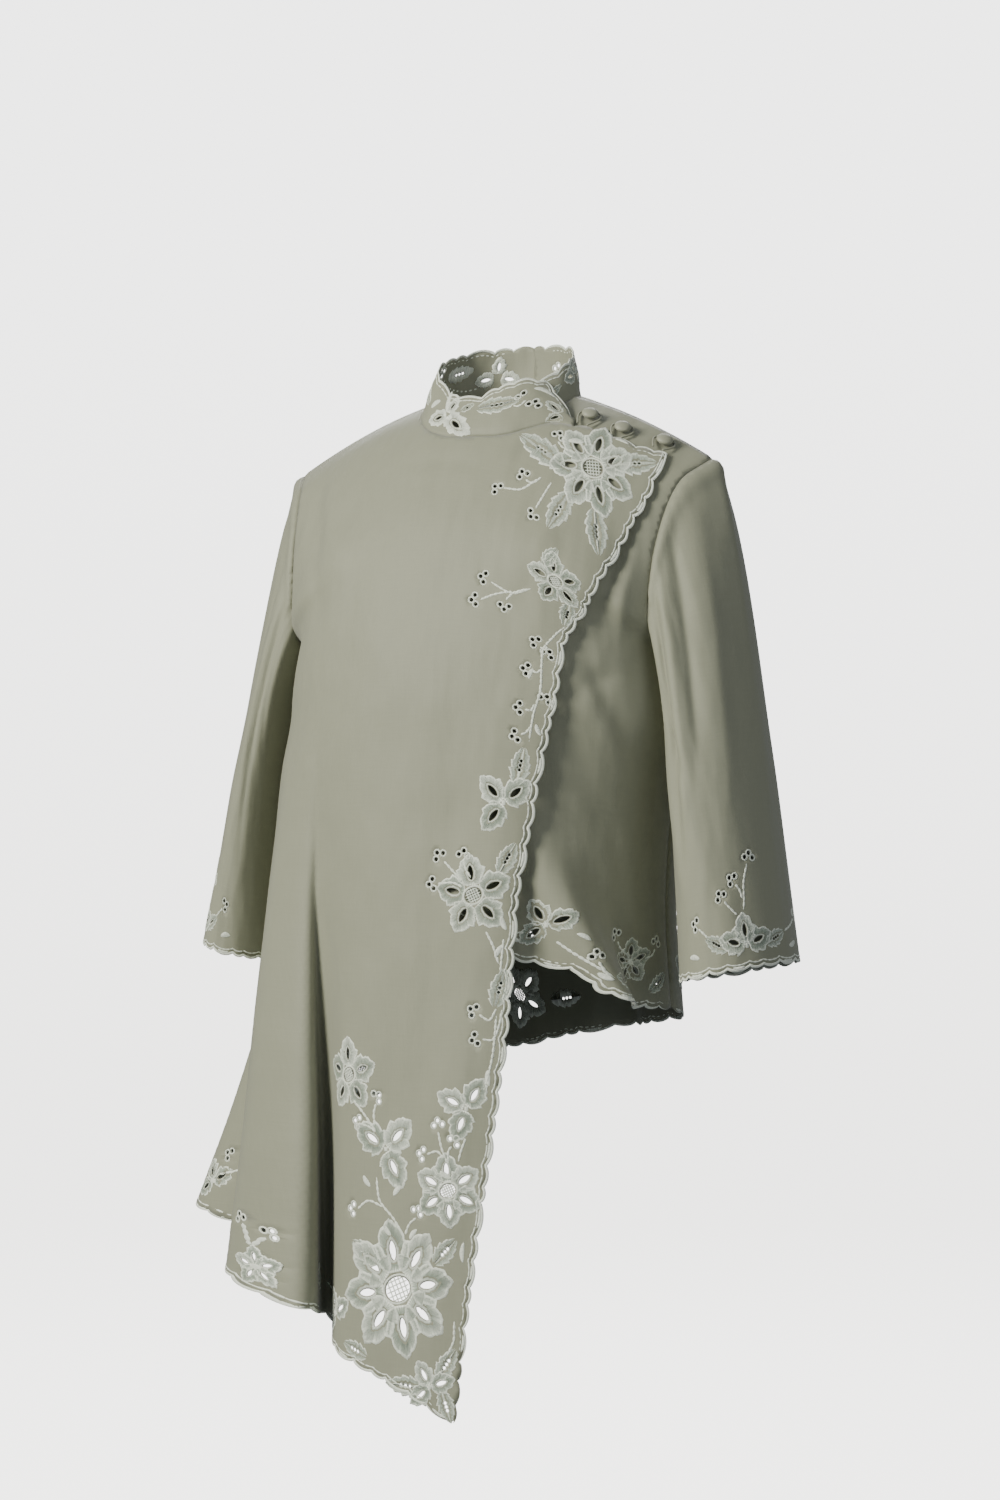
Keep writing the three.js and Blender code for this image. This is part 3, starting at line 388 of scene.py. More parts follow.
def cut_cloth(outline, holes, spacing):
    """Flat cloth inside an outline and outside its holes, in even triangles."""
    rings = [outline, *holes]
    rim = np.concatenate(rings)
    tree = KDTree(len(rim))
    for k, (x, y) in enumerate(rim):
        tree.insert((x, y, 0), k)
    tree.balance()
    low, high = outline.min(axis=0), outline.max(axis=0)
    ys = np.arange(low[1], high[1], spacing * 0.866)
    lines = []
    for k, y in enumerate(ys):
        xs = np.arange(low[0] + spacing / 2 * (k % 2), high[0], spacing)
        lines.append(points_at(xs, y))
    grid = np.concatenate(lines)
    grid = grid[inside(outline, grid)]
    grid = grid[~in_holes(holes, grid)]
    grid = grid[[tree.find((x, y, 0))[2] > spacing * 0.5 for x, y in grid]]
    edges = []
    for ring in rings:
        first = len(edges)
        edges += [(first + k, first + (k + 1) % len(ring)) for k in range(len(ring))]
    flat = [Vector(point) for point in np.concatenate([rim, grid])]
    points, _, faces, *_ = delaunay_2d_cdt(flat, edges, [], 0, 1e-4)
    points = np.array(points)
    faces = np.array([face for face in faces if len(face) == 3])
    middles = points[faces].mean(axis=1)
    return points, faces[inside(outline, middles) & ~in_holes(holes, middles)]


def finished_mesh(work, name):
    """The mesh of a finished bmesh, with its faces turned outwards."""
    bmesh.ops.recalc_face_normals(work, faces=work.faces)
    mesh = bpy.data.meshes.new(name)
    work.to_mesh(mesh)
    work.free()
    return mesh


def add_piece(mesh, material):
    mesh.materials.append(material)
    piece = bpy.data.objects.new(mesh.name, mesh)
    bpy.context.scene.collection.objects.link(piece)
    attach(piece, "root")
    return piece


def make_cloth(name, outline, holes, wear, material, spacing=4.5):
    points, faces = cut_cloth(outline, holes, spacing)
    worn = wear(points[:, 0], points[:, 1], np.full(len(points), CLOTH_OUT)) * MM
    mesh = bpy.data.meshes.new(name)
    mesh.from_pydata(worn.tolist(), [], faces.tolist())
    pattern = mesh.uv_layers.new(name="pattern")
    corners = np.empty(len(mesh.loops), int)
    mesh.loops.foreach_get("vertex_index", corners)
    pattern.data.foreach_set("uv", (points[corners] * MM).ravel())
    mesh.polygons.foreach_set("use_smooth", [True] * len(mesh.polygons))
    if sum(face.center.xy.dot(face.normal.xy) for face in mesh.polygons) < 0:
        mesh.flip_normals()
    cloth = add_piece(mesh, material)
    wall = cloth.modifiers.new("thickness", "SOLIDIFY")
    wall.thickness = CLOTH_THICKNESS * MM
    wall.offset = 0
    return cloth


# how much thread lies across a pad and across a cord, in millimetres of the thread's own map
PAD_THREADS = 6.0
BAND_THREADS = 3.0


class Stitching:
    """Embroidery: closed pads of stitches laid in pattern millimetres (across, level, height), then worn."""

    def __init__(self, seed, squeeze=lambda across, level: 1.0):
        self.squeeze = squeeze
        self.work = bmesh.new()
        self.thread = self.work.loops.layers.uv.new("thread")
        self.tone = self.work.verts.layers.float.new("tone")
        self.holes = []
        self.luck = np.random.default_rng(seed)

    def pad(self, across, level, height, tone, length, width):
        rows, columns = across.shape
        made = bmesh.ops.create_grid(
            self.work, x_segments=columns - 1, y_segments=rows - 1, size=0.5, calc_uvs=True
        )["verts"]
        grids = [grid.ravel().tolist() for grid in (across, level, height, tone)]
        faces = set()
        for vert, x, y, z, shade in zip(made, *grids):
            vert.co = (x, y, z)
            vert[self.tone] = shade
            faces.update(vert.link_faces)
        for face in faces:
            face.smooth = True
            for loop in face.loops:
                uv = loop[self.thread].uv
                loop[self.thread].uv = (uv.x * length, uv.y * width)

    def between(self, inner, outer, profile, closed, shade=0.0):
        """Stitches between two lines; a profile has (share from inner to outer, height, tone) rows."""
        share, height, tone = np.array([*profile, profile[0]], float).T
        if closed:
            inner, outer = (np.concatenate([line, line[:1]]) for line in (inner, outer))
        lines = inner[None] + (outer - inner)[None] * share[:, None, None]
        n = len(inner)
        full = np.ones(n) if closed else np.minimum(1, np.sin(np.linspace(0, np.pi, n)) * 4)
        length = np.linalg.norm(np.diff(outer, axis=0), axis=1).sum()
        tones = np.clip(tone[:, None] + shade * np.ones(n)[None], 0, 1)
        self.pad(lines[..., 0], lines[..., 1], height[:, None] * full[None], tones, length, PAD_THREADS)

    def band(self, path, half_width, height, tone=1.0, under=-0.5, dash=0.0, ridge=1.0):
        """A satin cord along a line; dash is a running stitch's length, ridge the height of its middle."""
        lengths = line_lengths(path)
        full = np.minimum(1, np.sin(np.linspace(0, np.pi, len(path))) * 3)
        if dash:
            full = (0.3 + 0.7 * np.abs(np.sin(np.pi * lengths / dash)) ** 0.5) * full
        share, rise = np.array([
            (-1, 0), (-0.75, 0.75), (0, ridge), (0.75, 0.75), (1, 0), (0.6, -1), (-0.6, -1), (-1, 0),
        ], float).T[..., None]
        lines = path[None] + sideways(path)[None] * (share * (half_width * full))[..., None]
        heights = np.where(rise < 0, -under * rise, height * rise) * full
        tones = np.full(heights.shape, tone)
        self.pad(lines[..., 0], lines[..., 1], heights, tones, lengths[-1], BAND_THREADS)

    def finish(self, name, wear, material):
        bmesh.ops.remove_doubles(self.work, verts=self.work.verts, dist=1e-4)
        flat = np.array([vert.co for vert in self.work.verts])
        worn = wear(flat[:, 0], flat[:, 1], flat[:, 2] + CLOTH_OUT) * MM
        for vert, place in zip(self.work.verts, worn.tolist()):
            vert.co = place
        piece = add_piece(finished_mesh(self.work, name), material)
        return piece


def turned(points, place, angle, squeeze=1.0):
    """Places a motif's own points (along its axis, beside it) on the pattern; angle 90 points up."""
    a = math.radians(angle)
    x, y = points[..., 0], points[..., 1]
    across = place[0] + (x * math.cos(a) - y * math.sin(a)) / squeeze
    level = place[1] - (x * math.sin(a) + y * math.cos(a))
    return np.stack([across, level], axis=-1)


# a pad's section from its inner line to its outer one: share of the way, height, tone
PETAL = [
    (0, 0.1, 1.5), (0.13, 0.6, 1.5), (0.21, 0.22, 0), (0.45, 0.3, 0.15), (0.66, 0.34, 0.35),
    (0.75, 0.36, 0.4), (0.83, 0.62, 1.5), (1, 0.05, 1.5), (1, -0.5, 0.9), (0.5, -0.42, 0.5), (0, -0.5, 1),
]
EYELET = [(0, 0.0, 1.3), (0.35, 0.6, 1.3), (0.75, 0.5, 1.3), (1, 0.0, 1.3), (1, -0.45, 0.9), (0, -0.45, 0.9)]
LEAF = [
    (0, 0.4, 1.5), (0.2, 0.2, 0.1), (0.5, 0.28, 0.3), (0.7, 0.34, 0.35), (0.8, 0.6, 1.5), (1, 0.05, 1.5),
    (1, -0.4, 0.9), (0, -0.4, 0.7),
]


def petal(stitching, place, angle, radius, slit, half_width, squeeze, shade, foot_share=0.17):
    """A pointed petal with toothed sides; its field is long and short stitches round a satin-ringed slit."""
    t = np.linspace(0, 2 * np.pi, 55)[:-1]
    along = (1 + np.cos(t)) / 2
    foot, middle = radius * foot_share, radius * (0.43 + 0.55 * foot_share)
    inner = points_at(middle + slit / 2 * np.cos(t), 0.2 * slit * np.sin(t) * np.abs(np.sin(t)) ** 0.4)
    teeth = 1 + 0.34 * ((along * 3.3 + 0.2) % 1 - 0.6) * (along > 0.12) * (along < 0.9)
    wide = 2.67 * half_width * radius * along**0.6 * (1 - along) ** 0.85 * teeth
    wide += 0.1 * radius * (1 - along) ** 3
    outer = points_at(foot + (radius * 1.04 - foot) * along, np.sign(np.sin(t)) * wide)
    outer += unit(outer - inner) * stitching.luck.uniform(-0.5, 0.5, (len(t), 1))
    stitching.holes.append(turned(inner * [1, 0.9], place, angle, squeeze)[::2])
    lines = [turned(line, place, angle, squeeze) for line in (inner, outer)]
    stitching.between(*lines, PETAL, True, shade)


def lattice(stitching, place, radius, squeeze):
    """A flower's open middle: threads crossed over a hole, inside a satin ring."""
    t = np.linspace(0, 2 * np.pi, 29)[:-1]
    ring = points_at(np.cos(t), np.sin(t) * 0.8)
    stitching.holes.append(turned(ring * radius * 0.94, place, 25, squeeze))
    for k in range(-2, 3):
        half = radius * math.sqrt(1 - (k / 2.9) ** 2)
        for angle in (25, 115):
            line = points_at(np.linspace(-half, half, 8), k * radius * 0.34)
            stitching.band(turned(line * [1, 0.85], place, angle, squeeze), 0.5, 0.35, 0.85, under=-0.3)
    rims = [turned(ring * size, place, 25, squeeze) for size in (radius, radius + 2.6)]
    stitching.between(*rims, EYELET, True)


PETAL_SHADES = (0, 0.25, -0.1, 0.15)


def flower(stitching, across, level, radius, petals, first, spread, slit):
    """Petals round a middle, which large full flowers have open and the others as one satin dot."""
    squeeze = stitching.squeeze(across, level)
    closed = spread == 360
    open_middle = closed and radius > 22
    foot_share = 0.23 if open_middle else 0.06
    half_width = min(0.38, 0.78 * math.pi / petals)
    for k in range(petals):
        angle = first + spread * (k / (petals if closed else petals - 1))
        shade = PETAL_SHADES[k % len(PETAL_SHADES)]
        petal(stitching, (across, level), angle, radius, slit, half_width, squeeze, shade, foot_share)
    if open_middle:
        lattice(stitching, (across, level), radius * foot_share, squeeze)
    else:
        dot = turned(np.array([[-2.2, 0], [2.2, 0]]), (across, level), 90, squeeze)
        stitching.band(resample(dot, 0.6), 1.8, 0.6)


def widening(across, level):
    """How far the worn over panel stretches a motif sideways, so that it is drawn narrower there."""
    reach = 10.0
    ends = wear_over(np.array([across - reach, across + reach]), np.full(2, float(level)), np.zeros(2))
    return float(np.clip(np.linalg.norm(ends[1] - ends[0]) / (2 * reach), 1, 2.4))


def leaf(stitching, across, level, angle, length, width, eyelets=3, teeth=5):
    """A toothed leaf with a row of eyelets along its middle, worked in two halves."""
    t = np.linspace(0, 1, 47)
    x = (t - 0.5) * length
    saw = (t * teeth) % 1
    half = width / 2 * np.sin(np.pi * t**0.85) ** 0.75 * (0.86 + 0.3 * saw * (t < 0.93))
    radius, gap = 1.35, min(4.2, length / 9)
    spots = [(k - (eyelets - 1) / 2) * gap for k in range(eyelets)]
    rib = np.zeros_like(t)
    for spot in spots:
        rib = np.maximum(rib, np.sqrt(np.maximum(radius**2 - (x - spot) ** 2, 0)))
        ring = np.linspace(0, 2 * np.pi, 11)[:-1]
        hole = points_at(spot + radius * np.cos(ring), radius * np.sin(ring))
        stitching.holes.append(turned(hole * [1, 0.85], (across, level), angle))
    squeeze = stitching.squeeze(across, level)
    for side in (-1, 1):
        ragged = stitching.luck.uniform(-0.3, 0.3, len(t)) * np.sin(np.pi * t)
        lines = [points_at(x, side * beside) for beside in (rib, half + ragged)]
        lines = [turned(line, (across, level), angle, squeeze) for line in lines]
        stitching.between(*lines, LEAF, False)


def satin_leaf(stitching, across, level, angle, length, width):
    """A small bowed leaf worked solid."""
    t = np.linspace(0, 1, 15)
    bow = points_at((t - 0.5) * length, 0.08 * length * np.sin(np.pi * t))
    path = turned(bow, (across, level), angle, stitching.squeeze(across, level))
    half_width = width / 2 * np.sin(np.pi * (0.04 + 0.92 * t)) ** 0.8
    stitching.band(path, half_width, 0.75, under=-0.3, ridge=0.5)


def trefoil(stitching, across, level, angle, count=3):
    """Little eyelets held together; angle points away from the stem."""
    squeeze = stitching.squeeze(across, level)
    t = np.linspace(0, 2 * np.pi, 15)[:-1]
    ring = points_at(np.cos(t), np.sin(t))
    for k in range(count):
        spot = turned(np.array([3.9, 0.0]), (across, level), angle + (k - (count - 1) / 2) * 85, squeeze)
        stitching.holes.append(turned(ring * 1.6, spot, 0, squeeze))
        rims = [turned(ring * size, spot, 0, squeeze) for size in (1.55, 3.35)]
        stitching.between(*rims, EYELET, True)


def stem(stitching, *points):
    """A cord of running stitches through a few pattern points."""
    stitching.band(smooth_line(points, 0.8), 1.15, 0.7, 1.3, dash=4.6, under=-0.3)


def stitch_motifs(stitching, *tables):
    """Works a table each of flowers, leaves, satin leaves, trefoils and stems, in that order."""
    for motif, table in zip((flower, leaf, satin_leaf, trefoil, stem), tables):
        for row in table:
            motif(stitching, *row)


def edging(stitching, path, outward, first, lens=True):
    """A scalloped satin edge: a cord over the cut edge, one inside it, and leaves in wide scallops."""
    cut, inner, middles = scallops(path, outward, first)
    stitching.band(cut, 1.2, 0.55, 1.3, under=-0.55)
    stitching.band(inner, 0.75, 0.5, 1.2, under=-0.3, dash=5.2)
    if lens:
        for (x, y), angle, length in middles:
            satin_leaf(stitching, x, y, angle, length * 0.55, 2.6)
    return cut


class Value:
    """A socket of a material's nodes, so that sums on it can be written plainly."""

    def __init__(self, finish, socket):
        self.finish, self.socket = finish, socket

    def math(self, operation, first, second=0.0):
        return self.finish.node("ShaderNodeMath", {"operation": operation}, {0: first, 1: second})

    def __add__(self, other):
        return self.math("ADD", self, other)

    def __sub__(self, other):
        return self.math("SUBTRACT", self, other)

    def __rsub__(self, other):
        return self.math("SUBTRACT", other, self)

    def __mul__(self, other):
        return self.math("MULTIPLY", self, other)

    __radd__, __rmul__ = __add__, __mul__

    def sine(self):
        return self.math("SINE", self)


class Finish:
    """A material made of nodes round one Principled shader; constants go on the shader's own sockets."""

    def __init__(self, name, **constants):
        self.material = bpy.data.materials.new(name)
        self.material.use_nodes = True
        self.tree = self.material.node_tree
        self.shader = self.tree.nodes["Principled BSDF"]
        for socket, value in constants.items():
            self.shader.inputs[socket.replace("_", " ")].default_value = value

    def node(self, kind, settings=None, sockets=None, output=0):
        made = self.tree.nodes.new(kind)
        for setting, value in (settings or {}).items():
            setattr(made, setting, value)
        for socket, value in (sockets or {}).items():
            if isinstance(value, Value):
                self.tree.links.new(value.socket, made.inputs[socket])
            else:
                made.inputs[socket].default_value = value
        return Value(self, made.outputs[output])

    def feed(self, socket, value):
        self.tree.links.new(value.socket, self.shader.inputs[socket])

    def pattern(self, layer):
        """The two coordinates of a UV map, in the map's own unit."""
        uv = self.node("ShaderNodeUVMap", {"uv_map": layer})
        return [self.node("ShaderNodeSeparateXYZ", None, {0: uv}, k) for k in range(2)]

    def blend(self, share, first, second):
        made = self.tree.nodes.new("ShaderNodeMix")
        made.data_type = "RGBA"
        self.tree.links.new(share.socket, made.inputs[0])
        for k, colour in ((6, first), (7, second)):
            if isinstance(colour, Value):
                self.tree.links.new(colour.socket, made.inputs[k])
            else:
                made.inputs[k].default_value = (*colour, 1)
        return Value(self, made.outputs[2])

    def noise(self, scale, detail, stretch=None, uv=None):
        if uv:
            place = self.node("ShaderNodeUVMap", {"uv_map": uv})
        else:
            place = self.node("ShaderNodeTexCoord", None, None, 3)
        if stretch:
            place = self.node("ShaderNodeMapping", None, {"Vector": place, "Scale": stretch})
        return self.node("ShaderNodeTexNoise", None, {"Vector": place, "Scale": scale, "Detail": detail})

    def bump(self, strength, distance, height, **base):
        sockets = {"Strength": strength, "Distance": distance, "Height": height, **base}
        return self.node("ShaderNodeBump", None, sockets)


# Sage sateen: fine warp floats with a soft lustre, slightly uneven yarn, and a little fading over the folds.
SAGE = (0.250, 0.257, 0.188)
SAGE_DARK = (0.212, 0.219, 0.158)
SAGE_LIGHT = (0.288, 0.295, 0.219)
YARN = 0.00042

sateen = Finish("sage_sateen", Sheen_Weight=0.25, Sheen_Roughness=0.45, Specular_IOR_Level=0.32)
u, v = sateen.pattern("pattern")
warp = (u * (2 * math.pi / YARN)).sine()
weft = (v * (2 * math.pi / (YARN * 1.6)) + u * (math.pi / YARN)).sine()
slub = sateen.noise(1.0, 3.0, (900, 60, 1), "pattern")
bars = sateen.noise(1.0, 3.0, (50, 700, 1), "pattern")
cloud = sateen.noise(9.0, 4.0)
uneven = slub * 0.5 + bars * 0.5
colour = sateen.blend(uneven * 0.9 + warp * 0.06, SAGE_DARK, SAGE_LIGHT)
colour = sateen.blend(cloud * 0.5, colour, SAGE)
sateen.feed("Base Color", colour)
sateen.feed("Roughness", uneven * 0.16 + 0.5)
ripple = sateen.noise(1.0, 2.0, (24, 9, 1), "pattern")
soft = sateen.bump(0.7, 0.007, ripple)
weave = warp * 0.35 + weft * 0.25 + uneven * 1.2
sateen.feed("Normal", sateen.bump(0.35, 0.0001, weave, Normal=soft))

# Rayon machine thread in a pale mint and a grey green, laid side by side as satin stitch.
MINT = (0.93, 0.97, 0.86)
GREY_GREEN = (0.29, 0.345, 0.27)
STRAND = 0.55
thread = Finish("mint_thread", Sheen_Weight=0.2, Sheen_Roughness=0.3, Specular_IOR_Level=0.5)
u, v = thread.pattern("thread")
strand = (u * (2 * math.pi / STRAND) + thread.noise(260.0, 2.0) * 2.5).sine()
strand_share = strand * 0.5 + 0.5
tone = thread.node("ShaderNodeAttribute", {"attribute_name": "tone"}, None, 2)
fleck = thread.noise(900.0, 2.0)
stitch = thread.noise(1.0, 2.0, (1.5, 0.5, 1), "thread")
# painted highlight: the last term makes each strand's crest a little paler
pale = tone + (stitch - 0.5) * 1.8 + (fleck - 0.5) * 0.5 + (strand_share - 0.5) * 0.12
colour = thread.blend(pale, GREY_GREEN, MINT)
# painted shade: the colour is darkened to 0.72 in the grooves between the strands and kept full on their
# crests
shade = thread.blend(strand_share, (0.72, 0.74, 0.72), (1, 1, 1))
colour = thread.node(
    "ShaderNodeMix", {"data_type": "RGBA", "blend_type": "MULTIPLY"}, {0: 1.0, 6: colour, 7: shade}, 2
)
thread.feed("Base Color", colour)
thread.feed("Roughness", fleck * 0.15 + 0.38)
thread.feed("Normal", thread.bump(0.8, 0.00018, strand_share + fleck * 0.5))

# across, level, radius, petals, first angle, spread, slit length
OVER_FLOWERS = [
    (123, 75, 41, 7, -5, 360, 13), (112, 188, 26, 5, 100, 360, 10), (75, 392, 28, 3, 40, 190, 11),
    (52, 466, 33, 5, 26, 360, 12), (50, 637, 28, 3, 60, 190, 10), (36, 703, 30, 6, 95, 360, 11),
    (-7, 785, 56, 8, 10, 360, 16), (-18, 673, 35, 3, -60, 210, 12), (-50, 615, 31, 5, 20, 360, 10),
    (22, 861, 23, 3, 20, 200, 9), (-68, 812, 24, 3, 30, 180, 9), (-146, 778, 17, 5, 90, 360, 6),
    (-222, 724, 22, 3, 30, 180, 9),
]
# across, level, angle, length, width
OVER_LEAVES = [
    (74, 80, 162, 54, 24), (104, 126, -105, 42, 21), (156, 50, 36, 46, 20), (140, 126, -72, 42, 22),
    (88, 362, 78, 34, 17), (78, 436, 62, 30, 16), (74, 540, 76, 34, 17), (34, 752, 48, 30, 17),
    (36, 842, 58, 32, 16), (0, 862, 178, 38, 17), (36, 876, -72, 28, 15),
    (-44, 838, 160, 30, 15), (-88, 806, 150, 28, 14), (-120, 786, 100, 28, 14), (-186, 752, 150, 28, 14),
    (-240, 712, 130, 26, 13), (-36, 758, 150, 34, 18), (122, 218, -100, 26, 15), (106, 168, 60, 24, 13),
]
# across, level, angle, length, width
OVER_SATIN = [
    (100, 60, 20, 16, 5), (76, 488, 110, 13, 4.5), (73, 511, 60, 13, 4.5), (67, 612, 95, 14, 4.5),
    (-34, 700, 130, 12, 4.5), (-8, 706, 50, 12, 4.5), (6, 740, 50, 12, 4.5), (-16, 738, 130, 12, 4.5),
    (96, 282, 70, 11, 4), (102, 330, 110, 11, 4), (34, 690, 150, 12, 4.5), (49, 752, 88, 18, 4),
    (-162, 752, 120, 12, 4),
]
# across, level, angle away from the stem
OVER_TREFOILS = [
    (47, 126, 150), (66, 108, 130), (84, 138, -120), (83, 62, 80), (51, 206, 170), (45, 226, 190),
    (70, 226, -90), (99, 253, 150), (93, 279, 170), (108, 262, 60), (107, 303, 60), (88, 313, 180),
    (85, 337, 200), (23, 435, 130), (43, 434, 80), (18, 457, 190), (55, 559, 150), (57, 581, 200),
    (27, 651, 100), (14, 675, 170), (40, 664, 50), (-41, 653, 160), (-26, 632, 40), (-46, 724, 175),
    (9, 722, 60), (-150, 742, 110), (-141, 750, 50), (-205, 704, 110), (-216, 700, 150),
]
OVER_STEMS = [
    ((50, 124), (64, 122), (80, 106)), ((68, 111), (74, 112), (82, 104)), ((84, 134), (88, 118), (92, 104)),
    ((84, 66), (92, 70), (104, 70)), ((55, 208), (74, 214), (92, 204)), ((48, 226), (62, 218), (76, 212)),
    ((70, 222), (76, 214), (88, 206)),
    ((124, 226), (112, 244), (104, 262), (104, 290), (98, 318), (94, 346)),
    ((102, 256), (106, 258), (108, 254)), ((96, 279), (100, 280), (104, 276)),
    ((107, 300), (104, 296), (103, 290)), ((91, 314), (96, 314), (99, 308)),
    ((88, 336), (92, 334), (96, 328)), ((26, 438), (34, 446), (44, 456)), ((43, 438), (46, 446), (50, 452)),
    ((21, 457), (34, 456), (44, 460)), ((76, 500), (75, 514), (74, 528)), ((62, 494), (68, 506), (73, 522)),
    ((58, 561), (66, 566), (72, 556)),
    ((60, 581), (68, 582), (74, 570), (76, 556)), ((72, 560), (70, 590), (64, 622)),
    ((27, 655), (30, 668), (36, 682)), ((17, 675), (26, 672), (33, 678)), ((39, 667), (36, 672), (36, 682)),
    ((50, 660), (46, 672), (44, 680)), ((-46, 634), (-36, 646), (-26, 660)),
    ((-38, 654), (-32, 656), (-26, 660)), ((-26, 636), (-28, 646), (-27, 656)),
    ((-26, 694), (-24, 712), (-10, 730), (-2, 744)), ((-43, 724), (-32, 716), (-20, 720)),
    ((9, 726), (2, 732), (-2, 742)), ((-149, 745), (-148, 752), (-147, 762)),
    ((-142, 753), (-144, 757), (-146, 762)), ((-206, 708), (-214, 714), (-220, 718)),
    ((36, 836), (42, 820), (42, 806)), ((-178, 758), (-168, 764), (-164, 770)),
    ((-96, 800), (-106, 794), (-114, 790)),
]


def neckline(turn):
    """The neckline's pattern place at a turn: 0 the centre front, 90 the wearer's left, 180 the back."""
    angle = np.radians(turn)
    front = np.cos(angle) >= 0
    drop = np.where(front, NECK_DROP["front"], NECK_DROP["back"])
    return NECK_HALF_WIDTH * np.sin(angle), drop * np.abs(np.cos(angle)), front


def lap_neckline(turn):
    """The over panel's neckline, which leaves the neck for the left shoulder."""
    across, level, front = neckline(turn)
    lap = turn >= LAP_NECK[0, 0]
    across = np.where(lap, follow(LAP_NECK, 1, turn), across)
    return across, np.where(lap, follow(LAP_NECK, 2, turn), level), front | lap


def side_line(rows, from_level, to_level, side):
    level = np.linspace(from_level, to_level, max(2, int(abs(to_level - from_level) / 4)))
    return points_at(side * row_length(rows, level), level)


def joined(*lines):
    """One closed outline of lines that follow each other."""
    outline = np.concatenate(lines)
    keep = np.linalg.norm(outline - np.roll(outline, 1, axis=0), axis=1) > 0.3
    return outline[keep]


neck = points_at(*lap_neckline(np.linspace(-90, 76, 84))[:2])
lap_across = np.linspace(SHOULDER_EDGE[0, 0], SHOULDER_EDGE[-1, 0], 40)
shoulder_lap = points_at(lap_across, follow(SHOULDER_EDGE, 1, lap_across))
levels = np.linspace(LAP_CORNER, LOWEST_POINT, 300)
free_edge = points_at(follow(FREE_EDGE, 1, levels), levels)
# The hem runs from the right side seam, at around -1, to the lowest point of the free edge.
share = np.linspace(1, 0, 160)
hem_level = follow(HEM, 1, -1 + HEM_SPAN * share)
hem_around = -1 + share * (1 + follow(FREE_EDGE, 1, hem_level) / row_length(FRONT_ROWS, hem_level))
hem = points_at(hem_around * row_length(FRONT_ROWS, hem_level), hem_level)

over_work = Stitching(3, widening)
edge_cut = edging(over_work, np.concatenate([shoulder_lap, free_edge]), 1, 0)
hem_cut = edging(over_work, hem[1:], 1, 5)
stitch_motifs(over_work, OVER_FLOWERS, OVER_LEAVES, OVER_SATIN, OVER_TREFOILS, OVER_STEMS)
right_side = side_line(FRONT_ROWS, RIGHT_SEAM, 0, -1)
shoulder = points_at(np.linspace(right_side[-1, 0], -NECK_HALF_WIDTH, 30)[1:], 0.0)
over_outline = joined(shoulder, neck, edge_cut, hem_cut, right_side)
over_panel = make_cloth("over_panel", over_outline, over_work.holes, wear_over, sateen.material)
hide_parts("right_front")
over_stitches = over_work.finish("over_panel_embroidery", wear_over, thread.material)


# ---- The under panel ----
# The short left front of the same sateen. It lies under the over panel, flares over the left hip, and shows
# below the arm with its own scalloped hem and two flowers.
# around at the start, around at level 900, start level, growth, width
UNDER_FOLDS = [(0.34, 1.24, 375, 0.3, 0.085), (0.56, 1.4, 390, -0.1, 0.07)]
LEFT_SEAM = 563
# around, level
UNDER_HEM = np.array([
    [-0.1, 505], [0.35, 517], [0.54, 528], [0.6, 545], [1, LEFT_SEAM], [1.5, 580], [2, 598],
], float)
UNDER_INNER = -2.3
UNDER_CREASES = [
    (170, 50, 150, 230, -4.0, 8), (152, 60, 130, 220, 2.8, 9), (174, 250, 120, 300, -1.6, 9),
    (176, 120, 170, 215, 1.6, 6), (100, 180, 180, 330, -2.2, 13), (112, 300, 186, 470, -2.4, 12),
    (130, 260, 184, 380, 2.0, 11), (158, 400, 170, 540, 1.6, 10),
]
UNDER_FLOWERS = [(108, 490, 24, 3, 25, 190, 11), (196, 522, 20, 5, 95, 360, 8)]
UNDER_LEAVES = [(166, 536, 165, 26, 14), (226, 540, 40, 24, 13), (60, 498, 170, 26, 14)]
UNDER_SATIN = [(146, 532, 150, 13, 4.5), (132, 500, -30, 12, 4), (84, 500, 150, 12, 4.5)]
UNDER_TREFOILS = [(141, 516, 95), (178, 500, 120), (222, 508, 70), (40, 482, 120)]
UNDER_STEMS = [
    ((112, 500), (130, 516), (152, 534)), ((141, 520), (144, 526), (148, 532)),
    ((180, 504), (184, 510), (190, 514)), ((221, 512), (216, 518), (208, 520)),
    ((44, 486), (56, 494), (70, 496), (96, 496)),
]


def wear_under(across, level, out):
    across, level = np.asarray(across, float), np.asarray(level, float)
    around = across / row_length(FRONT_ROWS, level)
    depth = fold_depth(UNDER_FOLDS, around, level) + crease_depth(UNDER_CREASES, across, level)
    depth = depth + out - seam_dip(1 - np.abs(around), level)
    return body_point(FRONT_ROWS, around, level, depth)


under_neck = points_at(*neckline(np.linspace(-2, 90, 40))[:2])
left_side = side_line(FRONT_ROWS, 0, LEFT_SEAM, 1)
left_shoulder = points_at(np.linspace(NECK_HALF_WIDTH, left_side[0, 0], 30)[1:-1], 0.0)
share = np.linspace(1, 0, 110)
hem_level = follow(UNDER_HEM, 1, share)
lap_edge = points_at(UNDER_INNER, np.linspace(504, 82, 90))
hem_across = UNDER_INNER + share * (row_length(FRONT_ROWS, hem_level) - UNDER_INNER)
under_work = Stitching(7)
under_hem = edging(under_work, points_at(hem_across, hem_level)[1:], 1, 3)
stitch_motifs(under_work, UNDER_FLOWERS, UNDER_LEAVES, UNDER_SATIN, UNDER_TREFOILS, UNDER_STEMS)
under_outline = joined(under_neck, left_shoulder, left_side, under_hem, lap_edge)
under_panel = make_cloth("under_panel", under_outline, under_work.holes, wear_under, sateen.material)
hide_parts("left_front")
under_stitches = under_work.finish("under_panel_embroidery", wear_under, thread.material)


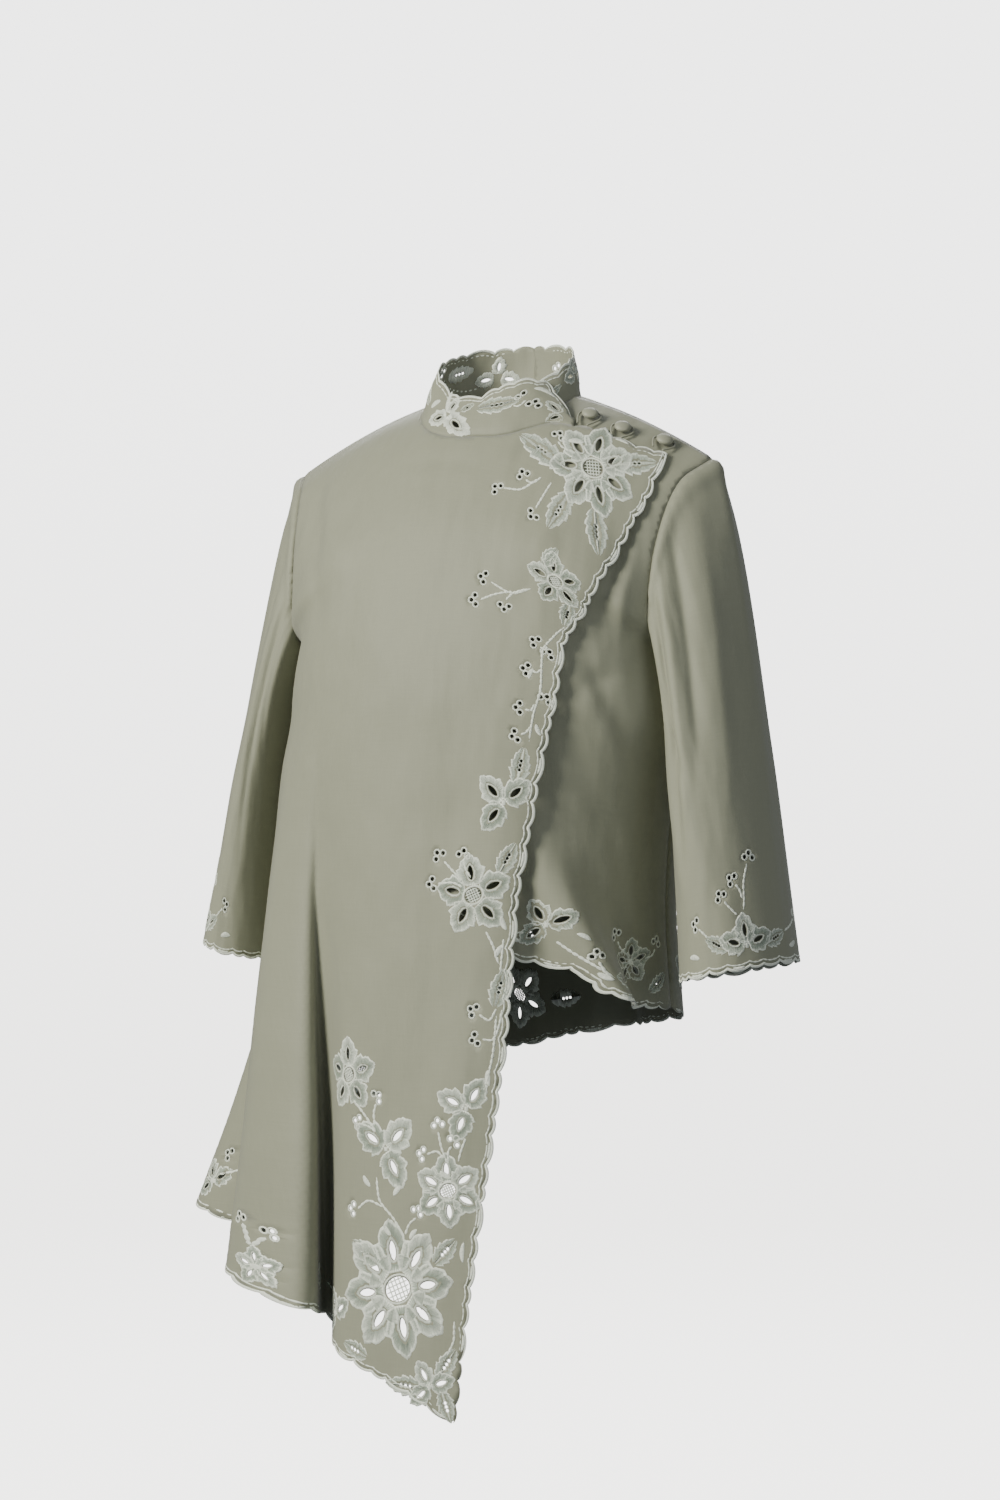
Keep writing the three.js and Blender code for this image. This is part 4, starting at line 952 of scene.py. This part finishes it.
# ---- The back ----
# One wide back of the sateen between the side seams. Its hem falls from the short left side to the long right
# one, with the same scalloped edge. Its pattern's across is measured from the centre back to the right.
BACK_CREASES = [
    (-150, 60, -120, 210, -2.4, 10), (150, 60, 120, 210, -2.4, 10), (-60, 300, 60, 306, -1.0, 12),
    (0, 320, 6, 560, 1.2, 14), (-40, 350, -48, 570, -1.2, 12), (60, 330, 80, 600, -1.2, 12),
    (40, 60, 90, 90, -0.8, 10), (-40, 60, -90, 90, -0.8, 10),
]
BACK_FLOWERS = [
    (150, 636, 26, 5, 90, 360, 10), (34, 566, 30, 5, 60, 360, 11), (-92, 540, 24, 3, 20, 200, 10),
    (-176, 532, 20, 5, 80, 360, 8), (212, 688, 20, 3, 60, 200, 8),
]
BACK_LEAVES = [
    (112, 622, 160, 28, 15), (186, 668, -40, 28, 15), (74, 584, -20, 30, 15), (-6, 566, 170, 30, 15),
    (-130, 548, 170, 26, 14), (-60, 552, 10, 26, 13),
]
BACK_TREFOILS = [
    (140, 588, 100), (166, 600, 60), (22, 512, 110), (46, 520, 60), (-98, 496, 100), (-170, 494, 90),
]
BACK_STEMS = [
    ((142, 592), (146, 604), (148, 612)), ((164, 604), (158, 612), (154, 618)),
    ((24, 516), (28, 530), (30, 540)), ((44, 524), (38, 534), (34, 542)),
    ((-97, 500), (-94, 512), (-92, 526)), ((-170, 498), (-172, 508), (-174, 514)),
]


def wear_back(across, level, out):
    across, level = np.asarray(across, float), np.asarray(level, float)
    around = 2 + across / row_length(BACK_ROWS, level)
    depth = fold_depth(BODY_FOLDS, around, level) + crease_depth(BACK_CREASES, across, level)
    depth = depth + out - seam_dip(1 - np.abs(around - 2), level)
    return body_point(BACK_ROWS, around, level, depth)


def back_widening(across, level):
    at = np.array([float(level)])
    return float((1 + follow(RIGHT_EXTRA, 1, at) / follow(BACK_ROWS, 3, at))[0]) if across > 0 else 1.0


back_neck = points_at(*neckline(np.linspace(90, 270, 60))[:2]) * [-1, 1]
right_side = side_line(BACK_ROWS, 0, RIGHT_SEAM, 1)
left_side = side_line(BACK_ROWS, LEFT_SEAM, 0, -1)
right_shoulder = points_at(np.linspace(NECK_HALF_WIDTH, right_side[0, 0], 30)[1:-1], 0.0)
left_shoulder = right_shoulder[::-1] * [-1, 1]
around = np.linspace(3, 1, 200)[1:]
hem_level = np.where(around > 2, follow(HEM, 1, around - 4), follow(UNDER_HEM, 1, around))
back_hem = points_at((around - 2) * row_length(BACK_ROWS, hem_level), hem_level)
back_work = Stitching(11, back_widening)
back_cut = edging(back_work, back_hem, 1, 2)
stitch_motifs(back_work, BACK_FLOWERS, BACK_LEAVES, (), BACK_TREFOILS, BACK_STEMS)
back_outline = joined(back_neck, right_shoulder, right_side, back_cut, left_side, left_shoulder)
back_panel = make_cloth("back_panel", back_outline, back_work.holes, wear_back, sateen.material)
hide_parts("back")
back_stitches = back_work.finish("back_panel_embroidery", wear_back, thread.material)


# ---- The collar ----
# A stand collar in two halves, joined at the centre back. The right half goes on over the lap and ends in a
# point at the first button; the left half stands inside it. Its pattern's across is COLLAR_SCALE times the
# turn round the neck, and its level is minus the height over the neck seam.
COLLAR_SCALE = 1.08
COLLAR_MIDDLE_Y = 11
# millimetres between the points of the neck seam
COLLAR_STEP = 3
# turn, radius and height of the top edge
COLLAR_RIGHT_TOP = np.array([
    [-180, 52, 58], [-135, 56, 54], [-90, 57, 42], [-62, 57, 30], [-30, 52, 8], [0, 51, 4], [20, 54, 11],
    [48, 59, 18], [76, 62, 14],
], float)
COLLAR_LEFT_TOP = np.array([
    [0, 48, 1], [20, 49, 7], [48, 53, 13], [90, 57, 34], [118, 57, 47], [135, 56, 53], [180, 52, 58],
], float)


def collar_seat(turn, right):
    across, level, front = lap_neckline(turn) if right else neckline(turn)
    level = np.maximum(level, 0.15)
    wear_front = wear_over if right else wear_under
    flat = np.zeros_like(across)
    return np.where(front[..., None], wear_front(across, level, flat), wear_back(-across, level, flat))


def collar_height(turn, right):
    return np.linalg.norm(collar_top(turn, right) - collar_seat(turn, right), axis=-1)


def collar_top(turn, right):
    table = COLLAR_RIGHT_TOP if right else COLLAR_LEFT_TOP
    angle, radius = np.radians(turn), follow(table, 1, turn)
    return np.stack([
        np.sin(angle) * radius, COLLAR_MIDDLE_Y - np.cos(angle) * radius, follow(table, 2, turn),
    ], axis=-1)


def wear_collar(across, level, out, right):
    turn = np.asarray(across, float) / COLLAR_SCALE
    seat, top = collar_seat(turn, right), collar_top(turn, right)
    lean = top - seat
    share = -np.asarray(level, float) / np.linalg.norm(lean, axis=-1)
    angle = np.radians(turn)
    outward = np.stack([np.sin(angle), -np.cos(angle), np.zeros_like(angle)], axis=-1)
    rise = (outward * lean).sum(axis=-1) / (lean**2).sum(axis=-1)
    wall_out = unit(outward - rise[..., None] * lean)
    seat_out = OVERLAP * ease((turn + 30) / 40) if right else 0
    over = (0.9 * seat_out - 1.2) * (1 - share) * ease(share / 0.2)
    over = over + 1.5 * np.sin(np.pi * np.clip(share, 0, 1))
    ripple = 0.5 * np.sin(turn * 0.16 + share * 2.0) * np.sin(turn * 0.045) * np.clip(share, 0, 1)
    return seat + lean * share[..., None] + outward * (over + ripple)[..., None] + wall_out * out[..., None]


def collar_line(turns, right, top):
    return points_at(turns * COLLAR_SCALE, -collar_height(turns, right) * top)


def make_collar(name, turns, right, top, work):
    def wear(across, level, out):
        return wear_collar(across, level, out, right)

    upper = collar_line(turns[::-1], right, top(turns[::-1]))
    if right:
        # the free end comes down to just over the neck seam
        upper = np.concatenate([[[upper[0, 0], -0.5]], upper])
    cut = edging(work, upper, -1, 4, lens=False)
    lower = collar_line(turns, right, 0)
    outline = joined(resample(lower, COLLAR_STEP), cut)
    collar = make_cloth(name, outline, work.holes, wear, sateen.material, spacing=3.5)
    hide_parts("collar_right" if right else "collar_left")
    stitches = work.finish(name + "_embroidery", wear, thread.material)


right_work = Stitching(13)
leaf(right_work, 24, -31, 6, 42, 17)
petal(right_work, (-25, -22), -34, 36, 11, 0.27, 1, 0.6, 0.05)
petal(right_work, (-25, -22), 218, 25, 8, 0.34, 1, 0.6, 0.05)
petal(right_work, (-25, -22), 80, 19, 6, 0.36, 1, 0.6, 0.05)
satin_leaf(right_work, -31, -33, 118, 24, 6)
leaf(right_work, -6, -31, 35, 15, 8, eyelets=1, teeth=3)
trefoil(right_work, 53, -23, 60)
trefoil(right_work, 45, -34, 120, count=2)
satin_leaf(right_work, 62, -36, -28, 20, 5)
petal(right_work, (74, -11), 130, 18, 8, 0.34, 1, 0.2)
petal(right_work, (74, -11), 215, 16, 7, 0.34, 1, 0.2)
leaf(right_work, -68, -24, 160, 30, 13)
satin_leaf(right_work, -46, -24, 60, 14, 5)
trefoil(right_work, -94, -28, 160)
leaf(right_work, -122, -26, 170, 32, 14)
petal(right_work, (-160, -20), 90, 18, 7, 0.36, 1, 0.2)
petal(right_work, (-160, -20), 190, 20, 8, 0.34, 1, 0.2)
petal(right_work, (-160, -20), -10, 20, 8, 0.34, 1, 0.2)
stem(right_work, (-148, -12), (-132, -10), (-112, -14), (-98, -24))
stem(right_work, (48, -30), (42, -26), (38, -28))
make_collar(
    "right_collar", np.linspace(-180, 76, 150), True, lambda turn: 1 - 0.8 * ease((turn - 61) / 15),
    right_work,
)

left_work = Stitching(17)
petal(left_work, (106, -18), 95, 16, 6, 0.38, 1, 0.1)
petal(left_work, (106, -18), 15, 18, 7, 0.36, 1, 0.1)
petal(left_work, (106, -18), 175, 18, 7, 0.36, 1, 0.1)
leaf(left_work, 74, -15, 20, 22, 10)
leaf(left_work, 142, -26, 8, 30, 13)
trefoil(left_work, 170, -24, 20)
stem(left_work, (118, -12), (134, -12), (152, -16), (165, -22))
make_collar(
    "left_collar", np.linspace(8, 180, 110), False, np.ones_like, left_work,
)


# ---- The sleeves ----
# Three-quarter bell sleeves, set in at the armhole and sewn up under the arm, with a cutwork flower over each
# scalloped cuff. A sleeve's across is SLEEVE_GIRTH times the way round from the top of the shoulder towards
# the front, and its level is minus the distance up from the hem.
SLEEVE_GIRTH = 360
UNDERARM = 220
# round, first handle from the armhole
SLEEVE_OUT = np.array([
    [0, 24, 0, 1], [0.12, 17, -2, -20], [0.25, 18, -8, -46], [0.38, 23, -17, -60], [0.5, 23, 0, -64],
    [0.62, 25, 14, -60], [0.75, 26, 18, -44], [0.88, 28, 6, -16], [1, 24, 0, 1],
], float)
CUFFS = {
    "left": dict(
        side=1, x=236, y=-30, z=-468, half_width=43, half_depth=66, lean_in=12, lean_out=34, lean_y=10,
    ),
    "right": dict(
        side=-1, x=250, y=10, z=-463, half_width=34, half_depth=64, lean_in=8, lean_out=50, lean_y=-6,
    ),
}
CUFF_TILT = 9
CUFF_RISE = 190


def armhole(cuff, turn):
    front = turn <= 0.5
    level = np.maximum(UNDERARM * 2 * np.where(front, turn, 1 - turn), 0.15)
    side = cuff["side"]
    wear_front, flat = (wear_over if side < 0 else wear_under), np.zeros_like(level)
    front_edge = wear_front(side * row_length(FRONT_ROWS, level), level, flat)
    back_edge = wear_back(-side * row_length(BACK_ROWS, level), level, flat)
    return np.where(front[..., None], front_edge, back_edge)


def sleeve_handles(cuff, turn):
    side, angle = cuff["side"], turn * 2 * np.pi
    start = armhole(cuff, turn)
    out = np.stack([follow(SLEEVE_OUT, column, turn) for column in (1, 2, 3)], axis=-1) * [side, 1, 1]
    end = np.stack([
        side * (cuff["x"] + cuff["half_width"] * np.cos(angle)),
        cuff["y"] - cuff["half_depth"] * np.sin(angle), cuff["z"] + CUFF_TILT * np.cos(angle),
    ], axis=-1)
    lean = cuff["lean_in"] + (cuff["lean_out"] - cuff["lean_in"]) * (1 + np.cos(angle)) / 2
    rise = np.stack([-side * lean, 0 * lean + cuff["lean_y"], 0 * lean + CUFF_RISE], axis=-1)
    return [start, start + out, end + rise, end]


SLEEVE_CREASES = {
    "left": [
        (52, -440, 72, -150, -4.5, 10), (26, -420, 44, -120, 2.6, 10), (-6, -430, 6, -190, -2.4, 14),
        (90, -380, 96, -110, 3.0, 10), (116, -330, 112, -90, -4.0, 8), (-50, -400, -40, -160, -2.0, 14),
        (76, -150, 40, -20, -1.6, 14), (-90, -330, -110, -120, -2.2, 14), (134, -240, 92, -150, -2.4, 7),
        (140, -200, 110, -60, 2.0, 9),
    ],
    "right": [
        (50, -420, 60, -160, -3.5, 11), (20, -420, 30, -170, 2.2, 10), (90, -330, 100, -130, 1.8, 12),
        (-20, -420, -14, -160, -2.6, 12), (-80, -360, -100, -120, -2.0, 14), (70, -140, 40, -20, -1.2, 14),
        (112, -320, 104, -90, -3.0, 9),
    ],
}
CUFF_FLOWERS = [(47, -17, 27, 3, 18, 144, 10)]
CUFF_LEAVES = [(76, -22, 30, 26, 14), (16, -20, 160, 26, 14)]
CUFF_SATIN = [(102, -14, 10, 14, 5), (-8, -14, 165, 14, 5)]
CUFF_TREFOILS = [(34, -86, 100), (52, -70, 40), (66, -58, 60), (96, -40, 20), (-22, -36, 120)]
CUFF_STEMS = [
    ((36, -83), (42, -66), (44, -50), (46, -44)), ((50, -67), (46, -60), (45, -54)),
    ((64, -55), (58, -48), (52, -42)), ((94, -37), (88, -32), (84, -28)), ((-19, -34), (-8, -28), (4, -24)),
]


def make_sleeve(name, seed):
    cuff = CUFFS[name]
    turns = np.linspace(0, 1, 361)
    rows = sleeve_handles(cuff, turns)

    def handles_at(turn):
        turn = turn - np.floor(turn)
        return [np.stack([np.interp(turn, turns, row[:, k]) for k in range(3)], axis=-1) for row in rows]

    def wear(across, level, out):
        across, level = np.asarray(across, float), np.asarray(level, float)

        def place(shift_across, shift_up):
            handles = handles_at((across + shift_across) / SLEEVE_GIRTH)
            length = chord_lengths(handles)[-1]
            up = np.clip(-level + shift_up, 0, length)
            return step_along(handles, 1 - up / length), length

        spot, length = place(0, 0)
        across_step = place(1.0, 0)[0] - place(-1.0, 0)[0]
        normal = unit(np.cross(across_step, place(0, -2.0)[0] - place(0, 2.0)[0])) * cuff["side"]
        from_top = length + level
        # The cloth sinks into its armhole and underarm seams; the eased head stands out just below.
        head = 2.2 * np.exp(-(((from_top - 9) / 8) ** 2)) * (np.abs(across) < 120)
        dip = np.exp(-((from_top / 2.4) ** 2)) * 1.2 - head
        dip = dip + np.exp(-(((SLEEVE_GIRTH / 2 - np.abs(across)) / 2.2) ** 2))
        depth = crease_depth(SLEEVE_CREASES[name], across, level) * ease(from_top / 40)
        depth = depth + out - dip * ease(from_top / 3)
        spot[..., 2] += np.minimum(-level, 0)
        return spot + normal * depth[..., None]

    around = np.linspace(-180, 180, 121)
    cap = -chord_lengths(handles_at(around / SLEEVE_GIRTH))[-1]
    cap_line = points_at(around, cap)
    down = points_at(180.0, np.linspace(cap[-1], 0, 80))
    work = Stitching(seed)
    hem = edging(work, points_at(np.linspace(180, -180, 240), 0.0), 1, 1)
    stitch_motifs(work, CUFF_FLOWERS, CUFF_LEAVES, CUFF_SATIN, CUFF_TREFOILS, CUFF_STEMS)
    outline = joined(cap_line[:-1], down, hem[1:-1], down[::-1][1:-1] * [-1, 1])
    sleeve = make_cloth(name + "_sleeve", outline, work.holes, wear, sateen.material)
    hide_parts(name + "_sleeve_front", name + "_sleeve_back")
    stitches = work.finish(name + "_sleeve_embroidery", wear, thread.material)


make_sleeve("left", 19)
make_sleeve("right", 23)


# ---- The buttons and loops ----
# Three ball buttons covered with the sateen, each on a short shank sewn to the left shoulder. A bound cord
# loop comes from the over panel's edge and holds each one under its head.
BUTTONS = [(98, 27), (130, 25), (167, 15)]
BUTTON_RADIUS = 7
BUTTON_MIDDLE = 4.4
BUTTON_FLATNESS = 0.52
BUTTON_GATHERS = 11
LOOP_RADIUS = 9.4
LOOP_CORD = 0.8
LOOP_UP = 1.8
LOOP_FOOT = 4.4
LOOP_WAIST = 7.6
LOOP_STEP = 0.5
LOOP_SIDES = 10


def shoulder_frame(across, level):
    """Foot on the under panel, and the directions left, up the slope and outwards."""
    at = np.array([float(across)]), np.array([float(level)])
    outside = np.array([2 * CLOTH_OUT])
    foot = wear_under(*at, outside)[0]
    out = body_normal(FRONT_ROWS, at[0] / row_length(FRONT_ROWS, at[1]), at[1])[0]
    up = foot - wear_under(at[0], at[1] + 4, outside)[0]
    up = unit(up - out * (up @ out))
    return foot, np.cross(up, out), up, out


covered = Finish("covered_sateen", Sheen_Weight=0.25, Sheen_Roughness=0.45, Roughness=0.5)
grain = covered.noise(900.0, 3.0)
covered.feed("Base Color", covered.blend(grain * 0.6 + covered.noise(120.0, 2.0) * 0.4, SAGE, SAGE_LIGHT))
covered.feed("Normal", covered.bump(0.4, 0.0002, grain))

for number, (across, level) in enumerate(BUTTONS, 1):
    foot, left, up, out = shoulder_frame(across, level)
    ball = bmesh.new()
    bmesh.ops.create_uvsphere(ball, u_segments=36, v_segments=20, radius=BUTTON_RADIUS)
    for vert in ball.verts:
        x, y, z = vert.co
        angle = math.atan2(y, x)
        gather = 1 - 0.05 * max(0.0, -z / BUTTON_RADIUS) * (1 + math.sin(angle * BUTTON_GATHERS))
        rise = z * BUTTON_FLATNESS * gather + BUTTON_MIDDLE
        vert.co = (foot + left * (x * gather) + up * (y * gather) + out * rise) * MM
    for face in ball.faces:
        face.smooth = True
    button = add_piece(finished_mesh(ball, f"covered_button_{number}"), covered.material)
    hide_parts(f"button_{number}")

    leg = level - float(follow(SHOULDER_EDGE, 1, np.array([float(across)]))[0]) + 0.8
    side = min(leg / 2, -4)
    ring = np.linspace(math.pi, 0, 13)
    arc = points_at(LOOP_RADIUS * np.cos(ring), LOOP_RADIUS * 0.92 * np.sin(ring))
    ends = np.array([[LOOP_WAIST, side], [LOOP_FOOT, leg]])
    route = smooth_line(np.concatenate([ends[::-1] * [-1, 1], arc, ends]), LOOP_STEP)
    away = sideways(route)
    twist = np.linspace(0, 2 * np.pi, LOOP_SIDES + 1)
    rise, reach = LOOP_CORD * np.sin(twist)[:, None], LOOP_CORD * np.cos(twist)[:, None]
    x = route[None, :, 0] + away[None, :, 0] * reach
    y = route[None, :, 1] + away[None, :, 1] * reach
    z = LOOP_UP + rise + 0 * x
    cord = Stitching(29)
    cord.pad(x, y, z, np.full(x.shape, 0.1), len(route) * LOOP_STEP, 2.0)
    bmesh.ops.remove_doubles(cord.work, verts=cord.work.verts, dist=1e-4)
    bmesh.ops.holes_fill(cord.work, edges=cord.work.edges, sides=LOOP_SIDES)
    for vert in cord.work.verts:
        x, y, z = vert.co
        vert.co = (foot + left * x + up * y + out * z) * MM
    loop = add_piece(finished_mesh(cord.work, f"bound_loop_{number}"), covered.material)
    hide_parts(f"loop_{number}")


# ---- Floor and light ----
# A plain pale studio: a round sweep that rises far from the jacket, a broad warm light from the front right
# of the body, a weak one from the left and one from behind. The sweep glows with painted light, dimmer low
# down and brighter higher up, and throws nothing back on the jacket.
FLOOR_LEVEL = -1.36
# painted light: the sweep glows on top of the lamps' light on it
paper = Finish("pale_floor_painted_glow", Roughness=0.9, Emission_Strength=3.6)
height = paper.node("ShaderNodeSeparateXYZ", None, {0: paper.node("ShaderNodeTexCoord", None, None, 3)}, 2)
# painted light falloff: the glow is dimmer at the floor and brighter higher up the sweep
painted_glow_rise = paper.node("ShaderNodeMapRange", None, {0: height, 1: FLOOR_LEVEL, 2: 1.6, 3: 0.0, 4: 1.0})
paper.feed("Base Color", paper.blend(paper.noise(2.0, 3.0), (0.78, 0.775, 0.765), (0.8, 0.797, 0.788)))
paper.feed("Emission Color", paper.blend(painted_glow_rise, (0.9, 0.885, 0.86), (1.0, 0.995, 0.985)))
sweep = bmesh.new()
profile = [(0, 0), (3, 0), (6, 0), (8, 0.1), (9.5, 0.7), (10.3, 1.8), (10.6, 3.2), (10.7, 6)]
line = [sweep.verts.new((x, 0, z + FLOOR_LEVEL)) for x, z in profile]
edges = [sweep.edges.new(pair) for pair in zip(line[:-1], line[1:])]
bmesh.ops.spin(
    sweep, geom=line + edges, cent=(0, 0, 0), axis=(0, 0, 1), angle=2 * math.pi, steps=64, use_merge=True,
)
bmesh.ops.remove_doubles(sweep, verts=sweep.verts, dist=1e-4)
for face in sweep.faces:
    face.smooth = True
floor_mesh = finished_mesh(sweep, "floor")
floor_mesh.materials.append(paper.material)
floor = bpy.data.objects.new("floor", floor_mesh)
bpy.context.scene.collection.objects.link(floor)
floor.visible_diffuse = False
floor.visible_glossy = False
floor.visible_shadow = False


def add_light(name, place, aim, size, power, colour=(1, 1, 1)):
    light = bpy.data.objects.new(name, bpy.data.lights.new(name, "AREA"))
    light.data.size = size
    light.data.energy = power
    light.data.color = colour
    light.location = place
    light.rotation_euler = (Vector(aim) - Vector(place)).to_track_quat("-Z", "Y").to_euler()
    bpy.context.scene.collection.objects.link(light)


add_light("key", (-1.6, -3.15, 1.3), (0, 0, -0.35), 1.3, 245, colour=(1, 0.975, 0.88))
add_light("fill", (3.0, -2.0, 0.8), (0, 0, -0.4), 2.2, 32)
add_light("back", (-1.5, 3.0, 1.6), (0, 0, -0.3), 2.0, 90)
world = bpy.data.worlds.new("studio")
bpy.context.scene.world = world
world.use_nodes = True
world.node_tree.nodes["Background"].inputs[0].default_value = (0.86, 0.93, 1, 1)
world.node_tree.nodes["Background"].inputs[1].default_value = 0.2
